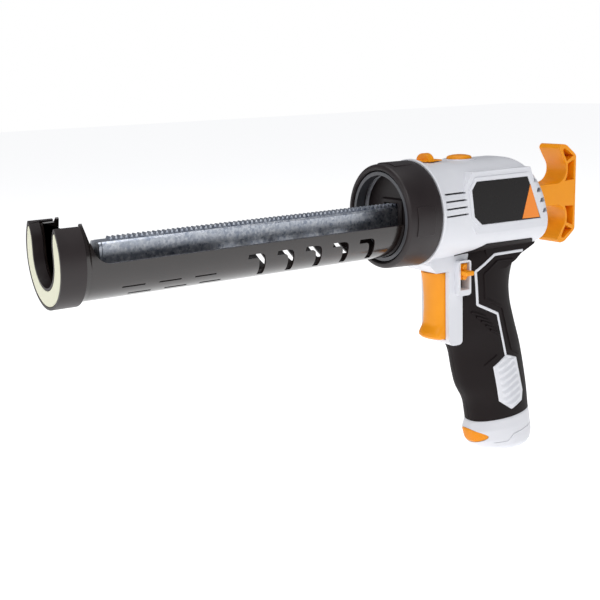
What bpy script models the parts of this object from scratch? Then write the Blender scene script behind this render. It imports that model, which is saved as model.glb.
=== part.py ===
"""Cordless caulking gun: half-tube cradle, toothed push rod, pistol-grip drive and slide-in battery.

Metres. +X runs from the nozzle end to the handle end, +Z is up and Y = 0 is the seam plane.
The origin is the middle of the push rod's front face, on the barrel axis, with the rod fully forward.
"""
import bpy
import bmesh
from math import acos, cos, pi, radians, sin, tan
from mathutils import Matrix, Vector

# ---- driving dimensions -------------------------------------------------------------------------
GAP = 0.0003                 # clearance between pieces that touch
RUN = 0.0004                 # clearance around pieces that slide or turn

CRADLE_R = 0.0268            # outside radius of the steel half tube
CAP_R = CRADLE_R + 0.0022    # nozzle cap outside radius
CAP_DEPTH = 0.0144
CAP_WALL = 0.0062            # thickness of the cap's front plate
SLOT_R = 0.0166              # nozzle slot: bottom radius and half width
ARM_ANGLE = radians(129.5)   # how far the cap's arms reach, measured from the bottom
NOSE_GAP = 0.0300            # cap front face to rod face when the rod is fully forward

CRADLE_WALL = 0.0012
CRADLE_LENGTH = 0.2128       # from the cap's rear edge to the collar's front face
CRADLE_EDGE_Z = -0.0030      # height of the half tube's long edges
BAND_ANGLE = radians(136)    # reach of the half tube's upswept band behind the cap
BAND = 0.0036                # width of the upswept band behind the cap
SWEEP_R = 0.0110             # fillet from the band to the long edge
LIP = 0.0026                 # width of the lip folded in along each long edge

COLLAR_DEPTH = 0.0263
COLLAR_R_FRONT = CRADLE_R + 0.0077
COLLAR_R_REAR = CRADLE_R + 0.0086

ROD_WIDTH = 0.0140
ROD_TOP = 0.0060
ROD_BOTTOM = -0.0070
ROD_WALL = 0.0020
ROD_TAIL = 0.0180            # how far the rod runs on behind the housing, into the T-handle
ROD_PLATE = 0.0016
MODULE = 0.0010              # gear module of the rack and its pinion
RACK_WIDTH = 0.0060
PINION_TEETH = 22

BODY_LENGTH = 0.1012         # housing from its front face to its rear face on the axis
BODY_TOP = 0.0330
BODY_HALF = 0.0310           # housing half width
BODY_BOTTOM = -0.0300
BODY_ROUND = 0.0100          # rear edge radius
SHELL = 0.0024               # housing wall
FLANGE_R = COLLAR_R_REAR + 0.0009

GRIP_HALF = 0.0190           # grip half width over the rubber
RUBBER = 0.0024              # thickness of the rubber cover
GRIP_END_FRONT = -0.1580     # height of the grip's lower end at its front and rear
GRIP_END_REAR = -0.1525
BASE_BOTTOM = -0.1820        # underside of the battery base

HANDLE_THICK = 0.0200        # T-handle
HANDLE_MID = 0.0020          # height of the T-handle's middle
HANDLE_HALF = 0.0362
BOWL_R = 0.0100
STEM_HALF = 0.0077

TRIGGER_HALF = 0.0108
TRIGGER_TOP = -0.0426
TRIGGER_BOTTOM = -0.0920
TRIGGER_TRAVEL = 0.0060
FRAME_BOTTOM = -0.0940       # lower end of the white mast behind the trigger
BLOCK_BOTTOM = -0.0410       # underside of the block over the trigger

SELECTOR_TRAVEL = 0.0065
BUTTON_R = 0.0086            # release button
BUTTON_TRAVEL = 0.0025
LOCK_TRAVEL = 0.0040
LATCH_TRAVEL = 0.0020
LATCH_Z = -0.1690

MOTOR_R = 0.0092             # motor and gearbox can
SHAFT_R = 0.0030
WHEEL_R = 0.0066             # worm wheel and worm pitch cylinders
WORM_R = 0.0034
DRIVE_Y = 0.0170             # the motor's axis stands this far right of the seam plane

SCREW_R = 0.0014             # case screws: shank, head and the post around them
SCREW_HEAD_R = 0.0027
SCREW_POST_R = 0.0040
SCREW_SEAT = 0.0080          # how far the screw head's seat stands from the seam

BATTERY_LEAN = 0.2352        # angle of the battery's slide line from upright, in radians
STICK_TOP = -0.0960          # battery stick: upper end and half widths
STICK_A = 0.0205
STICK_B = GRIP_HALF - 0.0072

# ---- places along the barrel, worked out from the sizes above ------------------------------------
CAP_FRONT = -NOSE_GAP
CAP_REAR = CAP_FRONT + CAP_DEPTH
COLLAR_FRONT = CAP_REAR + CRADLE_LENGTH
COLLAR_REAR = COLLAR_FRONT + COLLAR_DEPTH
BODY_FRONT = COLLAR_REAR + GAP
BODY_REAR = BODY_FRONT + BODY_LENGTH
ROD_LENGTH = BODY_REAR + ROD_TAIL
NOSE_FRONT = COLLAR_FRONT + 0.0112
NOSE_R = COLLAR_R_FRONT - 0.0035
PITCH_LINE = ROD_TOP + 0.0010 + 0.25 * MODULE - 0.00025
PINION_R = MODULE * PINION_TEETH / 2
PINION_X = BODY_FRONT + 0.0222
PINION_Z = PITCH_LINE + PINION_R
PIN_R = 0.0016
PIN_PLACE = (ROD_LENGTH - 0.0060, 0.0, -0.0010)
HANDLE_REAR = BODY_REAR + 0.0455
WORM_Z = PINION_Z - WHEEL_R - WORM_R - GAP
GEARBOX_FRONT = PINION_X + 0.0110
FRAME_FRONT = BODY_FRONT + 0.0212
FRAME_REAR = FRAME_FRONT + 0.0120
FRAME_HALF = GRIP_HALF - 0.0040
BLOCK_FRONT = BODY_FRONT + 0.0052
TRIGGER_FACE = FRAME_FRONT - 0.0062
TRIGGER_REAR = FRAME_FRONT + 0.0060
SWITCH_X = FRAME_REAR - 0.0015
BUTTON_X = BODY_FRONT + 0.0430
LOCK_X = BODY_FRONT + 0.0122
LATCH_X = BODY_FRONT + 0.0547
LATCH_HALF = GRIP_HALF - 0.0050
LATCH_ROOM = LATCH_TRAVEL + 0.0022  # depth of the pocket behind the latch
STICK_X = BODY_FRONT + 0.0762  # the battery stick's middle at the height STICK_Z
STICK_Z = -0.1550
CORE_INSET = RUBBER + GAP
SCREWS = (                   # place along X, height, length of the post from the seam
    (BODY_FRONT + 0.0602, 0.0245, 0.0188), (BODY_FRONT + 0.0142, -0.0350, FRAME_HALF - 0.0015),
    (BODY_REAR - 0.0130, -0.0195, 0.0225), (BODY_FRONT + 0.0752, -0.0880, GRIP_HALF - 0.0070))
GRIP_TABLE = [               # height, front and rear (both behind the housing's front face), half width
    (z, BODY_FRONT + front, BODY_FRONT + rear, GRIP_HALF - slim) for z, front, rear, slim in (
        (-0.0200, 0.0262, 0.0902, 0.0020), (-0.0300, 0.0242, 0.0942, 0.0005), (-0.0360, 0.0232, 0.0902, 0.0002),
        (-0.0430, 0.0227, 0.0866, 0.0), (-0.0520, 0.0222, 0.0841, 0.0), (-0.0600, 0.0222, 0.0835, 0.0),
        (-0.0710, 0.0232, 0.0850, 0.0), (-0.0850, 0.0257, 0.0892, 0.0), (-0.1030, 0.0317, 0.0948, 0.0),
        (-0.1165, 0.0347, 0.0979, 0.0), (-0.1300, 0.0387, 0.1005, 0.0), (-0.1425, 0.0452, 0.1020, 0.0),
        (-0.1600, 0.0474, 0.1037, 0.0))]
FINISH = {}


# ---- helpers ------------------------------------------------------------------------------------
def clear_scene():
    for old in list(bpy.data.objects):
        bpy.data.objects.remove(old, do_unlink=True)


def material(name, colour, roughness, metallic=0.0):
    """A plain Principled material, made once for each name."""
    found = bpy.data.materials.get(name)
    if found:
        return found
    made = bpy.data.materials.new(name)
    made.use_nodes = True
    shader = made.node_tree.nodes["Principled BSDF"]
    shader.inputs["Base Color"].default_value = (*colour, 1.0)
    shader.inputs["Roughness"].default_value = roughness
    shader.inputs["Metallic"].default_value = metallic
    return made


def finishes():
    """The finishes the gun is made in."""
    return {
        "black_plastic": material("black_plastic", (0.035, 0.033, 0.034), 0.50),
        "glow_plastic": material("glow_plastic", (0.80, 0.79, 0.58), 0.45),
        "black_paint": material("black_paint", (0.020, 0.017, 0.016), 0.18),
        "zinc": material("zinc", (0.46, 0.49, 0.54), 0.35, 1.0),
        "steel": material("steel", (0.50, 0.50, 0.51), 0.35, 1.0),
        "white_plastic": material("white_plastic", (0.74, 0.75, 0.78), 0.38),
        "orange_plastic": material("orange_plastic", (0.90, 0.32, 0.012), 0.40),
        "rubber": material("rubber", (0.022, 0.019, 0.019), 0.70),
        "label": material("label", (0.010, 0.008, 0.008), 0.30),
        "circuit_green": material("circuit_green", (0.02, 0.16, 0.05), 0.50),
        "cell_wrap": material("cell_wrap", (0.08, 0.22, 0.42), 0.40),
        "brass": material("brass", (0.70, 0.47, 0.18), 0.35, 1.0),
    }


def from_bmesh(name, bm, finish):
    """Turns a bmesh into an object, with its faces out."""
    bmesh.ops.remove_doubles(bm, verts=bm.verts, dist=1e-7)
    bmesh.ops.recalc_face_normals(bm, faces=bm.faces)
    mesh = bpy.data.meshes.new(name)
    bm.to_mesh(mesh)
    bm.free()
    mesh.shade_smooth()
    mesh.set_sharp_from_angle(angle=radians(32))
    made = bpy.data.objects.new(name, mesh)
    bpy.context.scene.collection.objects.link(made)
    if finish:
        mesh.materials.append(FINISH[finish])
    return made


def set_origin(thing, point):
    """Moves the object's origin to a point and leaves its surface where it is."""
    shift = Vector(point)
    thing.data.transform(Matrix.Translation(-shift))
    thing.location = shift
    return thing


def loft(name, loops, finish=None):
    """A closed solid through a list of loops that all have the same number of points."""
    bm = bmesh.new()
    rings = [[bm.verts.new(point) for point in loop] for loop in loops]
    count = len(rings[0])
    for low, high in zip(rings, rings[1:]):
        for i in range(count):
            j = (i + 1) % count
            bm.faces.new((low[i], low[j], high[j], high[i]))
    ends = [bm.faces.new(rings[0]), bm.faces.new(list(reversed(rings[-1])))]
    curved = [face for face in ends if not is_flat(face)]
    if curved:
        bmesh.ops.poke(bm, faces=curved)
    twisted = [face for face in bm.faces if len(face.verts) == 4 and not is_flat(face)]
    bmesh.ops.triangulate(bm, faces=twisted)
    return from_bmesh(name, bm, finish)


def is_flat(face):
    """True when every corner of a face lies within a hair of one plane."""
    face.normal_update()
    start = face.verts[0].co
    return all(abs((corner.co - start).dot(face.normal)) < 1e-7 for corner in face.verts)


AXIS_PLACE = {
    "X": lambda a, b, t: (t, a, b),
    "Y": lambda a, b, t: (a, t, b),
    "Z": lambda a, b, t: (a, b, t),
}


def prism(name, outline, axis, low, high, finish=None):
    """An outline of (a, b) points pushed along an axis from low to high."""
    place = AXIS_PLACE[axis]
    return loft(name, [[place(a, b, t) for a, b in outline] for t in (low, high)], finish)


def turned(name, profile, axis, centre, finish=None, steps=40):
    """A closed (along, radius) profile turned about an axis through centre; radius 0 makes a solid."""
    bm = bmesh.new()
    place = AXIS_PLACE[axis]
    rings = []
    for along, radius in profile:
        if radius < 1e-6:
            rings.append([bm.verts.new(place(0.0, 0.0, along))] * steps)
            continue
        ring = []
        for k in range(steps):
            turn = 2 * pi * (k + 0.5) / steps
            ring.append(bm.verts.new(place(radius * cos(turn), radius * sin(turn), along)))
        rings.append(ring)
    for here, there in zip(rings, rings[1:] + rings[:1]):
        for k in range(steps):
            n = (k + 1) % steps
            corners = list(dict.fromkeys((here[k], here[n], there[n], there[k])))
            if len(corners) > 2:
                bm.faces.new(corners)
    bmesh.ops.translate(bm, verts=bm.verts, vec=centre)
    return from_bmesh(name, bm, finish)


def rod_between(name, radius, axis, centre, low, high, finish=None, steps=24):
    """A plain cylinder along an axis, from low to high measured from centre."""
    profile = [(low, 0.0), (low, radius), (high, radius), (high, 0.0)]
    return turned_solid(name, profile, axis, centre, finish, steps)


def turned_solid(name, profile, axis, centre, finish=None, steps=24):
    """Loops of a turned solid, whose profile begins and ends on the axis."""
    place = AXIS_PLACE[axis]
    x, y, z = centre
    loops = []
    for along, radius in profile[1:-1]:
        loop = []
        for k in range(steps):
            turn = 2 * pi * (k + 0.5) / steps
            a, b, c = place(radius * cos(turn), radius * sin(turn), along)
            loop.append((x + a, y + b, z + c))
        loops.append(loop)
    return loft(name, loops, finish)


def block(name, low, high, finish=None, bevel=0.0):
    """A box between two corners, with its edges rounded when bevel is given."""
    bm = bmesh.new()
    bmesh.ops.create_cube(bm, size=1.0)
    size = [b - a for a, b in zip(low, high)]
    middle = [(a + b) / 2 for a, b in zip(low, high)]
    bmesh.ops.scale(bm, vec=size, verts=bm.verts)
    bmesh.ops.translate(bm, vec=middle, verts=bm.verts)
    if bevel:
        bmesh.ops.bevel(bm, geom=bm.edges[:], offset=bevel, segments=1, affect="EDGES")
    return from_bmesh(name, bm, finish)


def combine(thing, tools, operation):
    """Applies one Boolean for each tool, then removes the tools."""
    for tool in tools:
        change = thing.modifiers.new("cut", "BOOLEAN")
        change.solver = "EXACT"
        change.operation = operation
        change.object = tool
        bpy.context.view_layer.update()
        graph = bpy.context.evaluated_depsgraph_get()
        result = bpy.data.meshes.new_from_object(thing.evaluated_get(graph))
        thing.modifiers.clear()
        old = thing.data
        thing.data = result
        bpy.data.meshes.remove(old)
        bpy.data.objects.remove(tool, do_unlink=True)
    thing.data.shade_smooth()
    thing.data.set_sharp_from_angle(angle=radians(32))
    return thing


def cut(thing, *tools):
    return combine(thing, tools, "DIFFERENCE")


def join(thing, *tools):
    return combine(thing, tools, "UNION")


def twin(thing, name):
    """A second object with its own copy of the mesh."""
    made = thing.copy()
    made.data = thing.data.copy()
    made.name = name
    made.data.name = name
    bpy.context.scene.collection.objects.link(made)
    return made


def split(whole, name, finish):
    """Cuts a solid along the seam plane into a left and a right piece, a gap apart."""
    made = []
    for word, side in (("left", -1), ("right", 1)):
        half = twin(whole, "%s_%s" % (name, word))
        low, high = sorted((side * GAP / 2, -side * 0.08))
        cut(half, block("other", (0.10, low, -0.30), (0.50, high, 0.20)))
        half.data.materials.clear()
        half.data.materials.append(FINISH[finish])
        made.append(half)
    bpy.data.objects.remove(whole, do_unlink=True)
    return made


def arc(centre, radius, start, end, steps):
    """Points on an arc, angles in radians."""
    a, b = centre
    turns = [start + (end - start) * k / steps for k in range(steps + 1)]
    return [(a + radius * cos(t), b + radius * sin(t)) for t in turns]


def oval(half_a, half_b, power, count):
    """A superellipse: |a / half_a| ** power + |b / half_b| ** power = 1."""
    points = []
    for k in range(count):
        turn = 2 * pi * (k + 0.5) / count
        c, s = cos(turn), sin(turn)
        a = half_a * abs(c) ** (2 / power) * (1 if c > 0 else -1)
        b = half_b * abs(s) ** (2 / power) * (1 if s > 0 else -1)
        points.append((a, b))
    return points


def blend(table, at):
    """Straight-line reading of a table of (at, values...) rows."""
    rows = sorted(table)
    if at <= rows[0][0]:
        return rows[0][1:]
    for low, high in zip(rows, rows[1:]):
        if at <= high[0]:
            share = (at - low[0]) / (high[0] - low[0])
            return tuple(a + (b - a) * share for a, b in zip(low[1:], high[1:]))
    return rows[-1][1:]


def coil(name, radius, wire, turns, axis, centre, low, high, finish, steps=6, sides=4):
    """A compression spring: a round wire along a helix."""
    place = AXIS_PLACE[axis]
    x, y, z = centre
    pitch = (high - low - wire) / turns
    loops = []
    for k in range(turns * steps + 1):
        turn = 2 * pi * k / steps
        along = low + wire / 2 + pitch * k / steps
        loop = []
        for s in range(sides):
            around = 2 * pi * s / sides
            out = radius + wire / 2 * cos(around)
            lift = along + wire / 2 * sin(around)
            a, b, c = place(out * cos(turn), out * sin(turn), lift)
            loop.append((x + a, y + b, z + c))
        loops.append(loop)
    return loft(name, loops, finish)


# ---- nozzle end ---------------------------------------------------------------------------------
def slot_outline(outer, inner, back=0.0):
    """C-shaped outline in (y, z): an outer arc, and a U slot that flares open at the top."""
    reach = ARM_ANGLE - pi / 2 - back
    straight = 0.0080
    tip_out = (outer * cos(reach), outer * sin(reach))
    tip_in = (tip_out[0] - 0.0016, tip_out[1] - 0.0004)
    outside = arc((0, 0), outer, reach, -pi - reach, 30)
    bottom = arc((0, 0), inner, -pi, 0, 16)
    left = [(-tip_in[0], tip_in[1]), (-inner - 0.0012, (straight + tip_in[1]) / 2), (-inner, straight)]
    right = [(inner, straight), (inner + 0.0012, (straight + tip_in[1]) / 2), tip_in]
    return outside + left + bottom + right


def front_cap():
    """Moulded cap: a slotted plate, with a socket at the back that the steel band sits in."""
    cap = prism("front_cap", slot_outline(CAP_R, SLOT_R), "X", CAP_FRONT, CAP_REAR, "black_plastic")
    socket_r = CRADLE_R + GAP
    inside = rod_between("socket", socket_r, "X", (0, 0, 0), CAP_FRONT + CAP_WALL, CAP_REAR + 0.01, None, 44)
    pocket = prism("pocket", slot_outline(CAP_R - 0.0017, SLOT_R + 0.0014, radians(3)), "X",
                   CAP_FRONT - 0.001, CAP_FRONT + 0.0016)
    return cut(cap, inside, pocket)


def glow_ring():
    """Pale C-shaped insert in the cap's front face."""
    outline = slot_outline(CAP_R - 0.0017 - GAP, SLOT_R + 0.0014 + GAP, radians(4))
    return prism("glow_ring", outline, "X", CAP_FRONT, CAP_FRONT + 0.0013, "glow_plastic")


def cradle():
    """Pressed half tube, with an upswept band and a slotted end plate at the nozzle end."""
    start = CAP_FRONT + CAP_WALL + GAP
    end = NOSE_FRONT - 0.0040
    low_angle = acos(-CRADLE_EDGE_Z / CRADLE_R)
    high_angle = BAND_ANGLE
    band_end = CAP_REAR + BAND
    stations = [(start, ARM_ANGLE), (CAP_REAR + GAP, ARM_ANGLE), (CAP_REAR + 2 * GAP, high_angle),
                (band_end - 0.0012, high_angle)]
    drop = (high_angle - low_angle) * CRADLE_R
    stations.append((band_end, low_angle + (drop - 0.012) / CRADLE_R))
    for k in range(6):
        turn = pi / 2 * k / 5
        rise = SWEEP_R * (1 - sin(turn))
        stations.append((band_end + SWEEP_R * (1 - cos(turn)) + 0.0012, low_angle + rise / CRADLE_R))
    stations.append((end, low_angle))
    count = 20
    loops = []
    for x, half in stations:
        turns = [half * (2 * k / count - 1) for k in range(count + 1)]
        outside = [(x, CRADLE_R * sin(t), -CRADLE_R * cos(t)) for t in turns]
        inner = CRADLE_R - CRADLE_WALL
        inside = [(x, inner * sin(t), -inner * cos(t)) for t in reversed(turns)]
        loops.append(outside + inside)
    tube = loft("cradle", loops, "black_paint")
    edge_y = CRADLE_R * sin(low_angle)
    lip_start = band_end + SWEEP_R + 0.0012
    for side in (-1, 1):
        a, b = side * (edge_y - LIP), side * (edge_y - 0.0004)
        lip = block("lip", (lip_start, min(a, b), CRADLE_EDGE_Z - CRADLE_WALL),
                    (end - 0.0001, max(a, b), CRADLE_EDGE_Z + 0.00005))
        join(tube, lip)
    plate = prism("plate", slot_outline(CRADLE_R - 0.0005, SLOT_R + 0.0004), "X",
                  start, start + CRADLE_WALL)
    join(tube, plate)
    return cut(tube, *hook_slots(), *long_slots())


def hook_slots():
    """Up to five hook-shaped windows through both walls: a short arm forward, and a leg down."""
    tools = []
    pitch = 0.0200
    first = CAP_FRONT + 0.1145
    far = CRADLE_R + 0.004
    room = COLLAR_FRONT - 0.0080 - 0.0152 - first
    for k in range(min(5, int(room / pitch) + 1)):
        x = first + pitch * k
        outline = [(x, -0.0088), (x + 0.0080, -0.0088), (x + 0.0105, -0.0098), (x + 0.0118, -0.0125),
                   (x + 0.0152, -0.0235), (x + 0.0112, -0.0235), (x + 0.0080, -0.0140),
                   (x + 0.0060, -0.0122), (x, -0.0115)]
        tools.append(prism("hook", outline, "Y", -far, far))
    return tools


def long_slots():
    """Two rows of three narrow slots low on each side."""
    tools = []
    for z, offset, height in ((-0.0182, 0.0369, 0.0009), (-0.0234, 0.0426, 0.0010)):
        for k in range(3):
            x = CAP_FRONT + offset + 0.0224 * k
            low = (x, -CRADLE_R - 0.004, z - height / 2)
            high = (x + 0.0138, CRADLE_R + 0.004, z + height / 2)
            tools.append(block("slot", low, high))
    return tools


def cradle_flange():
    """Steel ring that carries the half tube and that the collar nut traps against the nose."""
    inner = CRADLE_R + GAP
    front = COLLAR_FRONT + 0.0012
    profile = [
        (front, inner), (front, inner + 0.0026), (front + 0.0046, inner + 0.0026),
        (front + 0.0046, NOSE_R - 0.0002), (front + 0.0066, NOSE_R - 0.0002), (front + 0.0066, inner)]
    return turned("cradle_flange", profile, "X", (0, 0, 0), "steel", 36)


def collar_nut():
    """Large black ring nut over the nose."""
    mouth = CRADLE_R + GAP + 0.0026 + RUN
    bore = NOSE_R + RUN
    shoulder = COLLAR_FRONT + 0.0052
    x = COLLAR_FRONT
    profile = [
        (x, mouth + 0.0006), (x, COLLAR_R_FRONT - 0.0028), (x + 0.0009, COLLAR_R_FRONT - 0.0009),
        (x + 0.0030, COLLAR_R_FRONT), (COLLAR_REAR - 0.0020, COLLAR_R_REAR),
        (COLLAR_REAR, COLLAR_R_REAR - 0.0009),
        (COLLAR_REAR, bore), (shoulder, bore), (shoulder, mouth), (x + 0.0008, mouth)]
    return turned("collar_nut", profile, "X", (0, 0, 0), "black_plastic", 36)


# ---- push rod -----------------------------------------------------------------------------------
def push_rod():
    """Zinc-plated channel with a rack of teeth along its top."""
    half = ROD_WIDTH / 2
    web = ROD_TOP - 0.0026
    start = ROD_PLATE + GAP
    section = [
        (-half, ROD_BOTTOM), (-half, ROD_TOP - 0.001), (-half + 0.001, ROD_TOP),
        (half - 0.001, ROD_TOP), (half, ROD_TOP - 0.001), (half, ROD_BOTTOM),
        (half - ROD_WALL, ROD_BOTTOM), (half - ROD_WALL, web), (-half + ROD_WALL, web),
        (-half + ROD_WALL, ROD_BOTTOM)]
    channel = prism("push_rod", section, "X", start, ROD_LENGTH, "zinc")
    join(channel, rack())
    return cut(channel, rod_between("bore", PIN_R + GAP, "Y", PIN_PLACE, -0.02, 0.02, None, 12))


def rack():
    """Straight-sided rack, one tooth space centred under the pinion."""
    pitch = pi * MODULE
    root = PITCH_LINE - 1.25 * MODULE
    tip = PITCH_LINE + 0.90 * MODULE
    slack = 0.00012
    flank = (0.90 * MODULE) * 0.364
    low_flank = (1.25 * MODULE) * 0.364
    half = pitch / 4 - slack
    base = ROD_TOP - 0.0008
    first = -int((PINION_X - 0.004 - ROD_PLATE) / pitch)
    last = int((BODY_REAR - 0.0010 - PINION_X) / pitch)
    outline = []
    for k in range(first, last):
        middle = PINION_X + (k + 0.5) * pitch
        outline += [(middle - half - low_flank, root), (middle - half + flank, tip),
                    (middle + half - flank, tip), (middle + half + low_flank, root)]
    outline = [(outline[0][0], base)] + outline + [(outline[-1][0], base)]
    return prism("rack", outline, "Y", -RACK_WIDTH / 2, RACK_WIDTH / 2)


def rod_end_plate():
    """Plate that closes the front of the channel and pushes the cartridge's piston."""
    half = ROD_WIDTH / 2
    corner = 0.0022
    top = arc((half - corner, ROD_TOP - corner), corner, 0, pi / 2, 4)
    outline = [(half, ROD_BOTTOM)] + top + [(-a, b) for a, b in reversed(top)] + [(-half, ROD_BOTTOM)]
    return prism("rod_end_plate", outline, "X", 0.0, ROD_PLATE, "steel")


def handle_outline():
    """Side outline of the T-handle: flat back, two finger bowls and two short hooks."""
    x1, zc, h = HANDLE_REAR, HANDLE_MID, HANDLE_HALF
    bowl = (x1 - 0.0197, STEM_HALF + BOWL_R)
    upper = [(BODY_REAR + 0.0022, STEM_HALF)]
    upper += arc(bowl, BOWL_R, -pi / 2, radians(25), 8)
    upper += [(x1 - 0.0132, 0.0260), (x1 - 0.0155, 0.0298)]
    upper += arc((x1 - 0.0149, h - 0.0026), 0.0024, radians(-160), radians(-270), 5)
    upper += [(x1 - 0.0112, h - 0.0010), (x1 - 0.0016, 0.0288), (x1, 0.0270)]
    lower = [(a, -b) for a, b in reversed(upper)]
    return [(a, zc + b) for a, b in upper + lower]


def handle_pockets():
    """Moulding pockets in both sides, which leave a web in the middle."""
    x1, zc = HANDLE_REAR, HANDLE_MID
    triangle = [(x1 - 0.0131, 0.0316), (x1 - 0.0115, 0.0328), (x1 - 0.0028, 0.0269), (x1 - 0.0093, 0.0232),
                (x1 - 0.0114, 0.0266)]
    window = [(x1 - 0.0084, 0.0208), (x1 - 0.0026, 0.0230), (x1 - 0.0026, 0.0100), (x1 - 0.0106, 0.0098),
              (x1 - 0.0083, 0.0165)]
    tools = []
    for outline in (triangle, window):
        for sign in (1, -1):
            points = [(a, zc + sign * b) for a, b in outline]
            for side in (1, -1):
                near, far = sorted((side * 0.0020, side * HANDLE_THICK))
                tools.append(prism("pocket", points, "Y", near, far))
    return tools


def t_handle():
    """Moulded pull handle on the end of the push rod."""
    half = HANDLE_THICK / 2
    handle = prism("t_handle", handle_outline(), "Y", -half, half, "orange_plastic")
    socket = block("socket", (BODY_REAR, -ROD_WIDTH / 2 - GAP, ROD_BOTTOM - GAP),
                   (ROD_LENGTH + GAP, ROD_WIDTH / 2 + GAP, ROD_TOP + GAP))
    bore = rod_between("bore", PIN_R + GAP, "Y", PIN_PLACE, -0.02, 0.02, None, 12)
    return cut(handle, *handle_pockets(), socket, bore)


def handle_pin():
    """Roll pin across the handle's stem and the rod's end block."""
    half = HANDLE_THICK / 2 - 0.001
    return rod_between("handle_pin", PIN_R, "Y", PIN_PLACE, -half, half, "steel", 12)


# ---- housing ------------------------------------------------------------------------------------
def rear_shift(z):
    """How far the housing's rear face stands behind its place on the axis, at height z."""
    return -0.34 * z - 5.5 * z * z


def body_form(name, inset):
    """The barrel housing's outer form, or its hollow when inset is the wall."""
    front = BODY_FRONT + inset
    table = [
        (BODY_FRONT, 0.0336, 0.0336, -0.0336, 2.1), (BODY_FRONT + 0.0160, 0.0316, BODY_TOP, -0.0330, 2.5),
        (BODY_FRONT + 0.0320, 0.0305, BODY_TOP, -0.0312, 3.0), (BODY_REAR, 0.0305, BODY_TOP, BODY_BOTTOM, 3.2)]
    stations = [(front, 0.0), (BODY_FRONT + 0.010, 0.0), (BODY_FRONT + 0.020, 0.0), (BODY_FRONT + 0.032, 0.0),
                (BODY_FRONT + 0.055, 0.0), (BODY_FRONT + 0.075, 0.0)]
    round_r = BODY_ROUND
    for k in range(5):
        turn = pi / 2 * k / 4
        stations.append((BODY_REAR - inset - round_r * (1 - sin(turn)), round_r * (1 - cos(turn))))
    loops = []
    for x, shrink in stations:
        half, top, bottom, power = blend(table, x)
        half -= inset + shrink
        top -= inset + 1.7 * shrink
        bottom += inset + 0.7 * shrink
        middle = (top + bottom) / 2
        share = max(0.0, min(1.0, (x - BODY_FRONT - 0.055) / (BODY_LENGTH - 0.055)))
        share = share * share * (3 - 2 * share)
        loop = []
        for y, z in oval(half, (top - bottom) / 2, power, 28):
            loop.append((x + share * rear_shift(middle + z), y, middle + z))
        loops.append(loop)
    return loft(name, loops)


def grip_form(name, inset, top, bottom_front, bottom_rear):
    """The grip's form: upright slices between two heights, the last slice sloped to the base's plane."""
    heights = [row[0] for row in GRIP_TABLE if GRIP_END_FRONT + 0.010 < row[0] < top - 0.001]
    loops = []
    for z in [top] + heights + [bottom_front]:
        front, rear, half = blend(GRIP_TABLE, z)
        middle = (front + rear) / 2
        reach = (rear - front) / 2
        loop = []
        for a, b in oval(reach - inset, half - inset, 2.4, 20):
            narrow = 1.0 - 0.10 * max(0.0, -a / reach)
            slope = (bottom_rear - bottom_front) * (a / reach + 1) / 2 if z == bottom_front else 0.0
            loop.append((middle + a, b * narrow, z + slope))
        loops.append(loop)
    return loft(name, loops)


def frame_form(name, grow=0.0):
    """White trigger frame: a block over the trigger and a mast down the front of the grip."""
    g = grow
    outline = [
        (BLOCK_FRONT - g, -0.0260), (BLOCK_FRONT - g, -0.0355 - g), (BLOCK_FRONT + 0.005, BLOCK_BOTTOM - g),
        (FRAME_FRONT - g, BLOCK_BOTTOM - g), (FRAME_FRONT - g, FRAME_BOTTOM + 0.003 - g),
        (FRAME_FRONT + 0.004, FRAME_BOTTOM - g), (FRAME_REAR - 0.001 + g, FRAME_BOTTOM - g),
        (FRAME_REAR + g, FRAME_BOTTOM + 0.003), (FRAME_REAR + g, -0.0600), (FRAME_REAR + 0.005 + g, -0.0585),
        (FRAME_REAR + 0.005 + g, -0.0260)]
    return prism(name, outline, "Y", -FRAME_HALF - g, FRAME_HALF + g)


def window_form(name, grow=0.0):
    """Raised surround of the direction switch, on the left."""
    g = grow
    low = (SWITCH_X - 0.0055 - g, -GRIP_HALF - 0.0004, -0.0585 - g)
    high = (SWITCH_X + 0.0055 + g, 0.0, -0.0340 + g)
    return block(name, low, high)


def shell_cutters():
    """The hollows and openings cut in both housing halves."""
    body_hollow = body_form("body_hollow", SHELL)
    grip_hollow = grip_form("grip_hollow", CORE_INSET + 0.0022, -0.0180, GRIP_END_FRONT - 0.004,
                            GRIP_END_REAR - 0.004)
    rod_way = block("rod_way", (BODY_REAR - 0.03, -ROD_WIDTH / 2 - RUN, ROD_BOTTOM - RUN),
                    (BODY_REAR + 0.02, ROD_WIDTH / 2 + RUN, PITCH_LINE + MODULE + RUN))
    trigger_way = block("trigger_way", (BODY_FRONT - 0.02, -TRIGGER_HALF - RUN, TRIGGER_BOTTOM + 0.0020),
                        (FRAME_REAR + 0.005, TRIGGER_HALF + RUN, TRIGGER_TOP + RUN))
    button_way = rod_between("button_way", BUTTON_R + RUN, "Z", (BUTTON_X, 0, 0), 0.025, 0.045, None, 24)
    lock_way = block("lock_way", (LOCK_X - 0.0014, -0.0045, 0.026), (LOCK_X + 0.0034 + LOCK_TRAVEL, 0.0045, 0.045))
    selector_way = block("selector_way", (SWITCH_X - 0.0036 - RUN, -0.03, -0.0480 - SELECTOR_TRAVEL),
                         (SWITCH_X + 0.0036 + RUN, -GRIP_HALF + 0.0090, -0.0355))
    nose_hollow = rod_between("nose_hollow", NOSE_R - 0.0026, "X", (0, 0, 0), NOSE_FRONT - 0.001,
                              BODY_FRONT + 0.006, None, 36)
    return [body_hollow, grip_hollow, nose_hollow, rod_way, trigger_way, button_way, lock_way, selector_way]


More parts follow.
